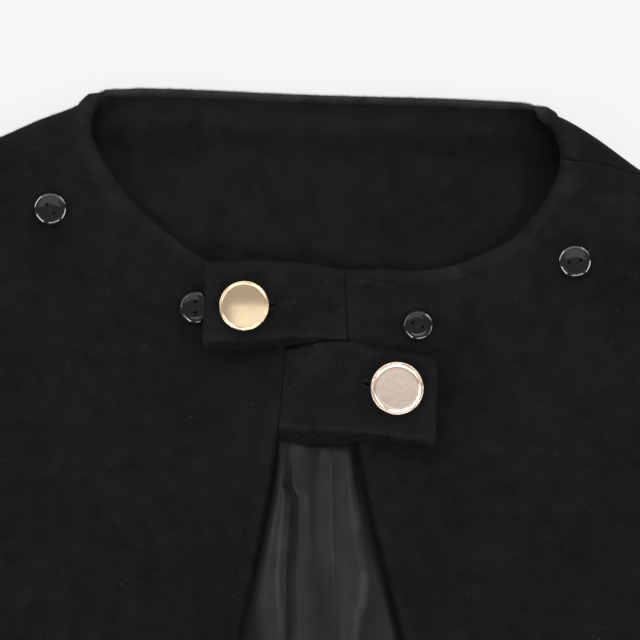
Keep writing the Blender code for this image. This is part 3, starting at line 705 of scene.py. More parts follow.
@dataclass
class Shell:
    """A closed shell of cloth between two grids of points that share their rim."""

    name: str
    face: Grid  # points of its right side, by rows and columns
    back: Grid
    uv: Grid  # coordinates along the cloth, in metres
    wear_and_highlight: Grid  # how much each point is lightened: rubbed nap, and painted highlight on lit edges
    painted_shade: Grid | float = 0.0  # how much painted shade each point has: painted shadow in hollows, under tabs and along edges
    skipped: Sequence[tuple[int, int]] = ()  # cells that are left open

    def build(self, finish: Material, slot: str, *nodes: str) -> Object:
        """Makes the shell's mesh and dresses it.

        Args:
            finish: Its material.
            slot: The record's material slot.
            nodes: CAD nodes that it replaces.

        Returns:
            The new object.
        """
        rows, columns = self.face.shape[:2]
        open_cells = np.zeros((rows - 1, columns - 1), bool)
        for r, c in self.skipped:
            open_cells[r, c] = True
        filled = np.pad(~open_cells, 1)
        around = filled[:-1, :-1].astype(int) + filled[:-1, 1:] + filled[1:, :-1] + filled[1:, 1:]
        rim, used = (around > 0) & (around < 4), around > 0
        face_index = np.full((rows, columns), -1)
        face_index[used] = np.arange(used.sum())
        back_index, inner = face_index.copy(), used & ~rim
        back_index[inner] = used.sum() + np.arange(inner.sum())
        middle = (self.face + self.back) / 2
        points = np.vstack([np.where(rim[..., None], middle, self.face)[used], self.back[inner]])
        r, c = np.nonzero(~open_cells)
        corners = ((r, c), (r + 1, c), (r + 1, c + 1), (r, c + 1))
        front = np.stack([face_index[i, j] for i, j in corners], axis=1)
        rear = np.stack([back_index[i, j] for i, j in reversed(corners)], axis=1)
        piece = new_piece(self.name, points, np.vstack([front, rear]).tolist(), finish)
        piece.data.shade_smooth()
        self.add_data(piece.data, used, inner)
        return dress(piece, slot, *nodes)

    def add_data(self, mesh: bpy.types.Mesh, used: Grid, inner: Grid) -> None:
        """Gives the mesh its coordinates along the cloth, its wear and painted highlight, and its painted
        shade.

        Args:
            mesh: The mesh.
            used: Which points of the face are in it.
            inner: Which points of the back are.
        """
        along = np.vstack([self.uv[used], self.uv[inner]])
        layer = mesh.uv_layers.new(name="cloth")
        loops = np.empty(len(mesh.loops), int)
        mesh.loops.foreach_get("vertex_index", loops)
        layer.data.foreach_set("uv", along[loops].astype(np.float32).ravel())
        for name, grid in (("wear_and_highlight", self.wear_and_highlight), ("painted_shade", self.painted_shade + np.zeros(used.shape))):
            attribute = mesh.attributes.new(name, "FLOAT", "POINT")
            attribute.data.foreach_set("value", np.concatenate([grid[used], grid[inner]]).astype(np.float32))


def dress(piece: Object, slot: str, *nodes: str) -> Object:
    """Args:
        piece: The piece.
        slot: The record's material slot; not used.
        nodes: CAD nodes that it replaces.

    Returns:
        The same piece.
    """
    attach(piece, BODY)
    if nodes:
        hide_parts(*nodes)
    LOG.info("%s: %d faces", piece.name, len(piece.data.polygons))
    return piece


class NodeBoard:
    """A procedural material, built node by node."""

    def __init__(self, name: str) -> None:
        """Starts the material with its shader.

        Args:
            name: The material's name.
        """
        self.material = bpy.data.materials.new(name)
        self.material.use_nodes = True
        self.tree = self.material.node_tree
        self.shader = self.tree.nodes["Principled BSDF"]

    def set(self, **values: float | tuple[float, ...]) -> None:
        """Sets sockets of the shader, their names written with underscores."""
        for name, value in values.items():
            self.shader.inputs[name.replace("_", " ")].default_value = value

    def use(self, socket: str, source: Socket) -> None:
        """Links a socket of the shader."""
        self.tree.links.new(source, self.shader.inputs[socket])

    def node(self, kind: str, **settings: object) -> bpy.types.Node:
        """Adds a node.

        Args:
            kind: Its type.
            settings: Its settings, and the values or links of its sockets by name.

        Returns:
            The node.
        """
        made = self.tree.nodes.new(kind)
        for name, value in settings.items():
            socket = made.inputs.get(name.replace("_", " "))
            if hasattr(made, name):
                setattr(made, name, value)
            elif isinstance(value, Socket):
                self.tree.links.new(value, socket)
            else:
                socket.default_value = value
        return made

    def object_place(self) -> Socket:
        """Returns the object's own coordinates."""
        return self.node("ShaderNodeTexCoord").outputs["Object"]

    def attribute(self, name: str) -> Socket:
        """Returns one of the piece's attributes."""
        return self.node("ShaderNodeAttribute", attribute_name=name).outputs["Fac"]

    def noise(self, place: Socket, size: float, **settings: object) -> Socket:
        """Returns a noise whose lumps have that size."""
        return self.node("ShaderNodeTexNoise", Vector=place, Scale=1 / size, **settings).outputs["Fac"]

    def mixed(self, share: float, first: Socket, second: Socket) -> Socket:
        """Returns two numbers mixed, with that share of the second."""
        made = self.node("ShaderNodeMix", data_type="FLOAT", Factor=share, A=first, B=second)
        return made.outputs["Result"]

    def multiplied(self, colour: Socket, share: Socket, by: Colour) -> Socket:
        """Multiplies a colour by another, as far as a share says.

        Args:
            colour: The colour.
            share: The share.
            by: The other colour.

        Returns:
            The new colour.
        """
        made = self.node("ShaderNodeMix", data_type="RGBA", blend_type="MULTIPLY")
        self.tree.links.new(share, made.inputs[0])
        self.tree.links.new(colour, made.inputs[6])
        made.inputs[7].default_value = (*by, 1.0)
        return made.outputs[2]

    def blend(self, share: Socket, low: Colour, high: Colour, span: Pair = (0.28, 0.72)) -> Socket:
        """Blends two colours.

        Args:
            share: The share of the second.
            low: The first colour.
            high: The second.
            span: The shares at which the colour is all the first and all the second.

        Returns:
            The colour.
        """
        ramp = self.node("ShaderNodeValToRGB", Fac=share)
        for stop, place, colour in zip(ramp.color_ramp.elements, span, (low, high)):
            stop.position, stop.color = place, (*colour, 1.0)
        return ramp.outputs["Color"]

    def between(self, share: Socket, low: float, high: float) -> Socket:
        """Returns a number between two, by the share."""
        span = {"From_Min": 0.28, "From_Max": 0.72, "To_Min": low, "To_Max": high}
        return self.node("ShaderNodeMapRange", Value=share, **span).outputs["Result"]

    def bump(self, *reliefs: tuple[Socket, float]) -> None:
        """Adds reliefs to the shader's normal.

        Args:
            reliefs: Each with its height.
        """
        below = {}
        for height, size in reliefs:
            made = self.node("ShaderNodeBump", Height=height, Distance=size, Strength=1.0, **below)
            below = {"Normal": made.outputs["Normal"]}
        self.use("Normal", below["Normal"])


@dataclass(frozen=True)
class WoolFinish:
    """Heavy black wool with a short brushed nap."""

    name: str
    dark: Colour = (0.0019, 0.0019, 0.002)  # darker end of its random mottle
    light: Colour = (0.0072, 0.0072, 0.007)  # lighter end of its random mottle

    def material(self) -> Material:
        """Builds the material.

        Returns:
            The material.
        """
        board = NodeBoard(self.name)
        place = board.object_place()
        cloudy = board.noise(place, 0.038, Detail=3.0, Roughness=0.55)
        patchy = board.noise(place, 0.0085, Detail=3.0, Roughness=0.6)
        felted = board.noise(place, 0.0018, Detail=3.0, Roughness=0.65)
        nap = board.noise(place, 0.0007, Detail=2.0, Roughness=0.6)
        mottled = board.mixed(0.42, patchy, felted)
        colour = board.blend(board.mixed(0.3, mottled, cloudy), self.dark, self.light, (0.36, 0.64))
        # Rubbed nap and painted highlight lighten the colour, most on lit edges, corners and tabs.
        rubbed = board.multiplied(colour, board.attribute("wear_and_highlight"), (6.0, 6.0, 5.8))
        # Painted shade darkens it in hollows, below the tabs and along the opening.
        board.use("Base Color", board.multiplied(rubbed, board.attribute("painted_shade"), (0.34, 0.34, 0.36)))
        board.use("Roughness", board.between(felted, 0.86, 1.0))
        board.set(Specular_IOR_Level=0.12, Sheen_Weight=0.006, Sheen_Roughness=0.55)
        board.bump((patchy, 0.00035), (felted, 0.0003), (nap, 0.00014))
        return board.material


@dataclass(frozen=True)
class SatinFinish:
    """Dark grey satin, smooth along its threads."""

    name: str
    dark: Colour = (0.024, 0.0243, 0.0266)
    light: Colour = (0.033, 0.033, 0.0352)

    def material(self) -> Material:
        """Builds the material.

        Returns:
            The material.
        """
        board = NodeBoard(self.name)
        place = board.node("ShaderNodeUVMap", uv_map="cloth").outputs["UV"]
        cloudy = board.noise(place, 0.018, Detail=2.0, Roughness=0.5)
        stretched = board.node("ShaderNodeMapping", Vector=place, Scale=(1.0, 0.12, 1.0)).outputs["Vector"]
        threads = board.noise(stretched, 0.0005, Detail=2.0, Roughness=0.6)
        colour = board.blend(cloudy, self.dark, self.light)
        # Painted shade darkens it under and beside the fronts and the lower tab and in its fold valleys; as
        # it is half metallic, its gloss darkens too.
        board.use("Base Color", board.multiplied(colour, board.attribute("painted_shade"), (0.21, 0.21, 0.22)))
        board.use("Roughness", board.between(threads, 0.4, 0.46))
        board.set(Metallic=0.5, Specular_IOR_Level=0.1)
        board.bump((cloudy, 0.00025), (threads, 0.000005))
        return board.material


@dataclass(frozen=True)
class PolishedFinish:
    """Polished metal or plastic, rubbed in places and perhaps cloudy."""

    name: str
    dull: Colour
    clear: Colour
    matt: Pair
    rubbed: tuple[float, float, float, float]  # size, detail, roughness and relief of the rubbed places
    cloudy: tuple[float, float, float, float] | None = None  # the same of the clouds
    metallic: float = 0.0
    gloss: float = 0.5

    def material(self) -> Material:
        """Builds the material.

        Returns:
            The material.
        """
        board, noises = NodeBoard(self.name), []
        place = board.object_place()
        for size, detail, roughness, relief in (self.cloudy, self.rubbed) if self.cloudy else (self.rubbed,):
            noises.append((board.noise(place, size, Detail=detail, Roughness=roughness), relief))
        board.use("Base Color", board.blend(noises[0][0], self.dull, self.clear))
        board.use("Roughness", board.between(noises[-1][0], *self.matt))
        board.set(Metallic=self.metallic, Specular_IOR_Level=self.gloss)
        board.bump(*noises)
        return board.material


PALE_GOLD = ((0.9, 0.7, 0.48), (0.98, 0.76, 0.48), (0.18, 0.25))
SILVERY_GOLD = ((0.79, 0.63, 0.52), (0.85, 0.69, 0.58), (0.2, 0.27))


@dataclass(frozen=True)
class StrandFinish:
    """Loose wool fibres, lint or sewing thread, lighter in places."""

    name: str
    colour: Colour
    lighter: float = 1.8  # how much lighter it is there
    grain: float = 0.004
    relief: float = 0.0
    roughness: float = 0.8
    gloss: float = 0.2

    def material(self) -> Material:
        """Builds the material.

        Returns:
            The material.
        """
        board = NodeBoard(self.name)
        uneven = board.noise(board.object_place(), self.grain, Detail=1.0)
        lighter = tuple(self.lighter * share for share in self.colour)
        board.use("Base Color", board.blend(uneven, self.colour, lighter))
        board.set(Roughness=self.roughness, Specular_IOR_Level=self.gloss)
        if self.relief:
            board.bump((uneven, self.relief))
        return board.material


@dataclass
class Front:
    """One front of the cloak, from the side seam on its fold to its front edge."""

    form: CloakForm
    side: Side
    creases: tuple[Crease, ...]
    seed: int
    sewn: Pair  # depths between which a tab is sewn to its front edge
    shadow: tuple[Grid, float, float]  # a tab's foot line that casts painted shadow on it, the shadow's reach and how dark it is

    def places(self, down: Grid) -> Grid:
        """Lays out its columns.

        Args:
            down: Its rows' shares of the way down.

        Returns:
            How far past the fold's outermost line each point of each row lies.
        """
        form = self.form
        near = np.array(edge_steps(form.seam_round, 0.0012, 13))
        far = np.array(edge_steps(form.edge_round, 0.0009, 14))
        first = (form.seam_place(self.side, down) + form.seam_gap)[:, None] + near
        last = (form.quarter + form.row_length(self.side, down))[:, None] - far[::-1]
        between = first[:, -1:] + np.linspace(0, 1, 73)[1:-1] * (last[:, :1] - first[:, -1:])
        return np.concatenate([first, between, last], axis=1)

    def shell(self) -> Shell:
        """Shapes the front.

        Returns:
            Its shell.
        """
        form, side = self.form, self.side
        down = form.panel_rows()
        places = self.places(down)
        rows = np.broadcast_to(down[:, None], places.shape)
        row = form.row_length(side, down)[:, None]
        base = form.ring_points(side, places, rows)
        normals = form.ring_normals(side, places, rows)
        across = 1 - np.clip(places - form.quarter, 0, row) / row
        plan = form.plan_of(base)
        x, depth = plan[..., 0], plan[..., 1]
        neck, hem, seam, edge = rim_distances(base)
        u, v = row * (1 - across) + np.minimum(places, form.quarter), rows * form.panel
        turned = 1 - smoothstep(0.007, 0.011, np.minimum(neck, edge))
        turned = np.maximum(turned, form.hem_share(form.front_plan(side, across, rows)))
        cloth = form.wool + (form.turned_wool - form.wool) * turned
        relief = turned_edge(np.minimum(neck, edge), u, v, self.seed)
        relief = relief + soft_unevenness(x, depth, self.seed + 5) * smoothstep(0.0, 0.012, neck + seam)
        for crease in self.creases:
            relief = relief + crease.relief(x, depth)
        start, end = self.sewn
        sewn = smoothstep(start - 0.001, start + 0.002, depth) * smoothstep(-0.001, 0.002, end - depth)
        turned_rim = rounded(np.minimum(neck, hem), form.edge_round)
        swell = np.minimum(turned_rim, rounded(seam, form.seam_round, 5.0))
        swell = np.minimum(swell, rounded(edge, form.edge_round - 0.0012 * sewn, 2.0 + 2.5 * sewn))
        face = base + normals * (relief * smoothstep(0.0, 0.0012, seam))[..., None]
        inner, outer = walls(face, normals, -cloth, swell)
        # Rubbed nap and painted highlight along the turned edges and hem, a little painted light towards the
        # neck, and painted highlight near both neck corners.
        band = 0.03 + 0.075 * (1 - smoothstep(0.008, 0.02, neck))
        wear_and_highlight = edge_wear_and_highlight(np.minimum(np.minimum(neck, edge + 0.0035), hem), u, v, self.seed + 9, band)
        wear_and_highlight = wear_and_highlight + 0.03 * bell(neck, 0.045)
        corner = smoothstep(0.08, 0.104, np.abs(x)) * (1 - smoothstep(0.02, 0.035, neck))
        wear_and_highlight = wear_and_highlight * (1 - 0.8 * corner * bell(neck, 0.0024))
        wear_and_highlight = wear_and_highlight + 0.075 * corner * bell(neck, 0.004, 0.0062) + neck_corner_highlight(x, depth)
        # Painted shade along the front edge below the sewn tab, and painted shadow below the foot of the tab
        # that lies over it.
        painted_shade = 0.9 * smoothstep(end, end + 0.004, depth) * (1 - smoothstep(0.0006, 0.0022, edge))
        line, reach, share = self.shadow
        painted_shade = np.maximum(painted_shade, share * np.exp(-((distance_from(plan, line) / reach) ** 1.3)))
        return Shell(f"{side.name.lower()}_front_cloth", outer, inner, np.stack([u, v], -1), wear_and_highlight, painted_shade)


@dataclass
class BackPanel:
    """The back, flat where it rests, up round both folds and on to the seams."""

    form: CloakForm
    seed: int = 71
    columns: int = 96  # of its flat part
    roll: Pair = (0.0019, 0.0042)  # where its rolled neck edge starts to slope down, and where it ends

    def ring(self, side: Side, down: Grid) -> Grid:
        """Lays out its columns round a fold.

        Args:
            side: The wearer's side.
            down: Its rows' shares of the way down.

        Returns:
            How far past the fold's outermost line they lie, from the seam to the flat part.
        """
        form = self.form
        near = np.array(edge_steps(form.seam_round, 0.0009, 3))
        rest = np.linspace(0, 1, 27 if side is Side.LEFT else 13)[1:-1]
        first = (form.seam_place(side, down) - form.seam_gap)[:, None] - near
        return np.concatenate([first, first[:, -1:] - rest * (first[:, -1:] + form.quarter)], axis=1)

    def shell(self) -> Shell:
        """Shapes the back.

        Returns:
            Its shell.
        """
        form = self.form
        down = form.panel_rows(fine=1.4)
        rings = [self.ring(side, down) for side in Side]
        points = [form.ring_points(side, ring, down[:, None]) for side, ring in zip(Side, rings)]
        normals = [form.ring_normals(side, ring, down[:, None]) for side, ring in zip(Side, rings)]
        across, rows = np.meshgrid(np.linspace(0, 1, self.columns + 1), down)
        plan = form.back_plan(across, rows)
        flat = form.laid(plan, form.back_underside(plan), rows)
        face = np.concatenate([points[0], flat, points[1][:, ::-1]], axis=1)
        normal = np.cross(np.gradient(flat, axis=0), np.gradient(flat, axis=1))
        normal = unit(normal * -np.sign(normal[..., 2:]))
        normal = np.concatenate([normals[0], normal, normals[1][:, ::-1]], axis=1)
        lies = np.zeros(face.shape[:2])
        lies[:, rings[0].shape[1] : -rings[1].shape[1]] = np.minimum(across, 1 - across)
        lies = smoothstep(0.0, 0.03, lies)
        u = np.cumsum(np.linalg.norm(np.diff(face, axis=1, prepend=face[:, :1]), axis=-1), axis=1)
        u = u - u[:, u.shape[1] // 2][:, None]
        v = np.broadcast_to(down[:, None] * form.panel, u.shape)
        neck, hem, right_seam, left_seam = rim_distances(face)
        seam, edge = np.minimum(right_seam, left_seam), np.minimum(neck, hem)
        at_edge = form.turned_wool + (form.neck_edge_cloth - form.turned_wool) * lies
        plan = form.plan_of(face)
        x, depth = plan[..., 0], plan[..., 1]
        cloth = form.back_cloth(plan) + (at_edge - form.wool) * (1 - smoothstep(*self.roll, neck))
        relief = soft_unevenness(u, v, self.seed) * smoothstep(0.0, 0.012, seam)
        relief = relief + turned_edge(neck, u, v, self.seed) * smoothstep(0.0, 0.0012, seam)
        relief = relief * (1 - np.maximum(1 - smoothstep(0.0, 0.004, face[..., 2]), lies))
        swell = np.minimum(rounded(edge, form.edge_round), rounded(seam, form.seam_round, 5.0))
        inner, outer = walls(face, normal, -cloth, swell)
        outer = outer + normal * (relief * smoothstep(0.0, 0.002, edge))[..., None]
        # Painted highlight along the rolled neck edge and round the neck corners, and rubbed nap and painted
        # highlight along the hem.
        corner = smoothstep(0.107, 0.112, np.abs(x))
        wear_and_highlight = bell(neck, 0.0037) * (1 - corner) + corner * 0.1 * bell(neck, 0.004, 0.0062)
        wear_and_highlight = wear_and_highlight + neck_corner_highlight(x, depth) + 0.5 * roll_corner_highlight(x, depth)
        wear_and_highlight = edge_wear_and_highlight(hem, u, v, self.seed + 9) + wear_and_highlight
        return Shell("back_cloth", outer, inner, np.stack([u, v], -1), wear_and_highlight)


@dataclass
class BackNeckFacing:
    """The wool facing inside the neck, from below its rolled edge, and up inside both shoulder folds."""

    form: CloakForm
    cloth: float = 0.002
    gap: float = 0.0004  # how far it lies above the back
    from_edge: float = 0.0042
    along_shoulder: float = 0.052
    into_fold: float = 0.45  # how far up a fold it reaches, as a share of a quarter turn past its middle
    seam_x: float = 0.0064
    creases: tuple[Crease, ...] = (
        Crease((-0.09, 0.03), (-0.01, 0.034), 0.005, -0.0004, 0.001),
        Crease((0.02, 0.031), (0.1, 0.036), 0.005, -0.0005, -0.001),
        Crease((-0.08, 0.064), (0.01, 0.07), 0.007, -0.0005, 0.002),
        Crease((0.03, 0.062), (0.095, 0.052), 0.006, -0.0005, -0.002),
        Crease((-0.04, 0.078), (0.05, 0.082), 0.008, 0.0005, 0.000),
    )
    # How high it stands at some distances below the neck edge
    waves: tuple[Pair, ...] = (
        (0.0000, -0.0012), (0.0084, -0.001), (0.016, 0.0013), (0.027, -0.0004),
        (0.04, 0.0004), (0.056, 0.0016), (0.072, 0.0002), (0.14, 0.0000),
    )
    shade_reach: Pair = (0.016, 0.03)  # of the painted shade in the right and the left fold
    # Bands of painted shade: place below the edge, width and how dark it is
    dark_bands: tuple[Colour, ...] = ((0.006, 0.0025, 0.2), (0.029, 0.006, 0.16))
    seed: int = 131

    def share(self, side: Side, distance: float) -> float:
        """Returns that distance down a shoulder as a share of its side's length."""
        return distance / self.form.outline[side].length

    def down_fold(self, side: Side, share: Grid | float) -> Grid:
        """Returns where shares of the facing's own way down lie on a side, as shares of the side."""
        first, end = self.share(side, self.from_edge), self.share(side, self.along_shoulder)
        return first + (end - first) * np.asarray(share)

    def side_line(self, side: Side) -> Curve:
        """Returns a function for the foot of a shoulder fold along the facing."""
        return lambda share: self.form.fold_foot(side, self.down_fold(side, share))

    def foot(self, lower: float) -> Line:
        """Returns its lower edge, or a line that far below it."""
        start, end = (self.side_line(side)(1.0) for side in Side)
        return Line([(x, depth + lower) for x, depth in (start, *FACING_FOOT, end)])

    def in_fold(self, side: Side, rows: Grid) -> tuple[Grid, Grid]:
        """Lays out its part inside a fold.

        Args:
            side: The wearer's side.
            rows: Shares of the way down it.

        Returns:
            Points of its outer side and their directions inwards, from its rim to the fold's foot.
        """
        form, down = self.form, self.down_fold(side, rows)[:, None]
        up_to = self.into_fold * form.quarter
        inside = paced(edge_steps(0.0006, 0.0009, 2), (up_to + form.quarter, 0.0012))
        places = (up_to - np.array(inside))[None, :-1]
        inwards = -form.ring_normals(side, places, down)
        return form.ring_points(side, places, down) + inwards * (form.wool + self.gap), inwards

    def relief(self, x: Grid, depth: Grid, below_edge: Grid) -> Grid:
        """Works out its ridges, troughs and centre seam.

        Args:
            x: The points' x.
            depth: Their depth.
            below_edge: How far they lie below the neck edge.

        Returns:
            The height at each point.
        """
        uneven = 1 + 0.3 * unevenness(x, depth, 0.033, self.seed + 7)
        high = Line(self.waves).second_at(below_edge) * uneven + soft_unevenness(x, depth, self.seed)
        for crease in self.creases:
            high = high + crease.relief(x, depth)
        from_seam = (x - self.seam_x) / 0.001
        seam = 0.0004 * bell(from_seam, 5) - 0.0005 * bell(from_seam, 0.9)
        return high + seam * (1 - smoothstep(0.016, 0.034, below_edge))

    def shell(self) -> Shell:
        """Shapes the facing.

        Returns:
            Its shell.
        """
        form = self.form
        last = [0.1275 - place for place in reversed(edge_steps(0.001, 0.0008, 2))]
        rows = np.array([*paced(edge_steps(0.0012, 0.0008, 6), (0.124, 0.0014)), *last]) / 0.1275
        across, down = np.meshgrid(np.linspace(0, 1, 116), rows)
        sides = [self.side_line(side) for side in Side]
        first = self.share(Side.RIGHT, self.from_edge)
        inner = form.back_plan(np.linspace(0.08, 0.92, 9), np.full(9, first))
        top = Line([sides[0](0.0), *inner, sides[1](0.0)])
        plan = coons(across, down, top.at, self.foot(0.0).at, *sides)
        height = form.back_underside(plan) + form.back_cloth(plan) + self.gap
        flat = form.laid(plan, height, first + down * self.along_shoulder)
        (right, right_way), (left, left_way) = (self.in_fold(side, rows) for side in Side)
        base = np.concatenate([right, flat, left[:, ::-1]], axis=1)
        up = np.broadcast_to(np.array([0.0, 0.0, 1.0]), flat.shape)
        inwards = np.concatenate([right_way, up, left_way[:, ::-1]], axis=1)
        lies = np.zeros(base.shape[:2])
        lies[:, right.shape[1] : -left.shape[1]] = np.minimum(across, 1 - across)
        lies = smoothstep(0.0, 0.05, lies)
        rims = rim_distances(base)
        x, depth = np.moveaxis(form.plan_of(base), -1, 0)
        below_edge = rims[0] + self.from_edge
        relief = np.maximum(self.relief(x, depth, below_edge), -0.0013) * (0.25 + 0.75 * lies)
        thick = self.cloth * (0.62 + 0.38 * lies) + relief * smoothstep(0.0, 0.002, rims[1])
        upper, lower = walls(base, inwards, thick, rounded(np.minimum.reduce(rims), 0.0012))
        # Painted highlight on the ridge below the neck edge and at the wearer's right corner, where the
        # painted shade is taken away.
        rubbed = roll_corner_highlight(x, depth)
        wear_and_highlight = 0.005 + 0.05 * bell(below_edge, 0.0045, 0.0165) + 0.34 * rubbed
        # Painted shade in both folds and in bands below the neck edge.
        painted_shade = np.exp(-((np.clip(x - base[:, :1, 0], 0, None) / self.shade_reach[0]) ** 1.5))
        painted_shade = painted_shade + np.exp(-((np.clip(base[:, -1:, 0] - x, 0, None) / self.shade_reach[1]) ** 1.5))
        for place, width, share in self.dark_bands:
            painted_shade = painted_shade + share * bell(below_edge, width, place)
        painted_shade = np.clip(painted_shade, 0, 1) * (1 - rubbed)
        return Shell("back_neck_facing_cloth", upper, lower, np.stack([x, depth], -1), wear_and_highlight, painted_shade)


# Cross-sections of the lining's folds below the tabs: a depth in metres, and the places x and heights of
# their valleys and crests in millimetres, from right to left of the wearer
OPENING_FOLDS = (
    (0.15, ((-40, 0.6), (-22.5, 0.7), (-18.5, 1.2), (-16.5, 1.0), (-11, 1.6), (-1, 1.0),
             (3, 1.5), (6.7, 1.2), (12, 1.7), (20, 1.0), (25, 1.1), (40, 0.6))),
    (0.178, ((-40, 0.8), (-22.5, 0.8), (-19.0, 2.6), (-16.3, 1.7), (-11.5, 3.2), (-1, 1.6),
             (3, 3.0), (6.7, 2.4), (11.5, 3.2), (18.5, 1.2), (24, 1.0), (40, 0.8))),
    (0.194, ((-40, 0.8), (-26.0, 0.9), (-19.3, 3.6), (-15.9, 0.4), (-12.3, 3.2), (-4.2, 1.9),
             (2.7, 3.5), (6.7, 2.7), (12.2, 3.7), (19.2, 1.2), (25.8, 1.0), (40, 0.8))),
    (0.2, ((-40, 0.8), (-27.5, 0.9), (-18.5, 3.8), (-13.4, 0.9), (-8.5, 3.6), (-4.5, 2.0),
             (2.5, 3.8), (6.7, 2.8), (12.5, 4.0), (19.5, 1.3), (26.5, 1.0), (40, 0.8))),
    (0.218, ((-45, 0.8), (-31.5, 0.9), (-21.5, 4.2), (-13.3, 0.8), (-8.5, 3.4), (-3.5, 2.2),
             (2.5, 3.9), (6.6, 3.0), (13, 4.2), (21.5, 1.6), (29, 1.2), (45, 0.8))),
    (0.236, ((-50, 0.8), (-34.5, 1.0), (-22, 4.4), (-15, 0.9), (-9.2, 3.6), (-2, 2.2),
             (3, 2.9), (7.1, 2.6), (17, 4.8), (24.5, 2.4), (30, 2.2), (50, 0.8))),
    (0.25, ((-52, 0.8), (-33.5, 1.0), (-21.3, 4.0), (-14.8, 0.9), (-8.8, 3.6), (1.5, 1.8),
             (4.5, 2.2), (7.5, 2.4), (16.5, 4.6), (23.5, 1.9), (29.5, 2.6), (52, 0.8))),
    (0.263, ((-55, 0.8), (-32.5, 1.0), (-21.5, 3.2), (-14.5, 1.0), (-8.5, 3.6), (-1, 2.4),
             (4, 2.6), (8, 2.2), (12.8, 4.2), (19.5, 1.6), (29, 2.8), (55, 0.8))),
    (0.31, ((-60, 0.8), (-36, 1.0), (-22.5, 2.8), (-15.0, 1.2), (-8, 3.0), (-1, 2.0),
             (4, 2.2), (8.6, 2.0), (14, 3.4), (22, 1.6), (32, 2.4), (60, 0.8))),
)
LONG_FOLDS = (
    Crease((-0.0225, 0.23), (-0.035, 0.64), 0.0075, 0.0026, 0.004),
    Crease((-0.008, 0.23), (-0.012, 0.8), 0.0085, 0.0028, -0.003),
    Crease((0.004, 0.24), (0.006, 0.42), 0.005, 0.0018, 0.000),
    Crease((0.014, 0.23), (0.021, 0.7), 0.008, 0.003, 0.003),
    Crease((0.032, 0.24), (0.048, 0.56), 0.007, 0.0022, -0.004),
    Crease((-0.048, 0.32), (-0.078, 0.8), 0.011, 0.0024, 0.006),
    Crease((0.058, 0.34), (0.082, 0.81), 0.01, 0.0025, -0.005),
    Crease((0.038, 0.52), (0.04, 0.82), 0.009, 0.002, 0.002),
    Crease((-0.1, 0.5), (-0.13, 0.82), 0.013, 0.002, 0.004),
    Crease((0.11, 0.52), (0.132, 0.815), 0.012, 0.002, -0.004),
    Crease((-0.21, 0.3), (-0.25, 0.78), 0.018, 0.001, 0.006),
    Crease((0.22, 0.28), (0.26, 0.78), 0.018, 0.001, -0.006),
)


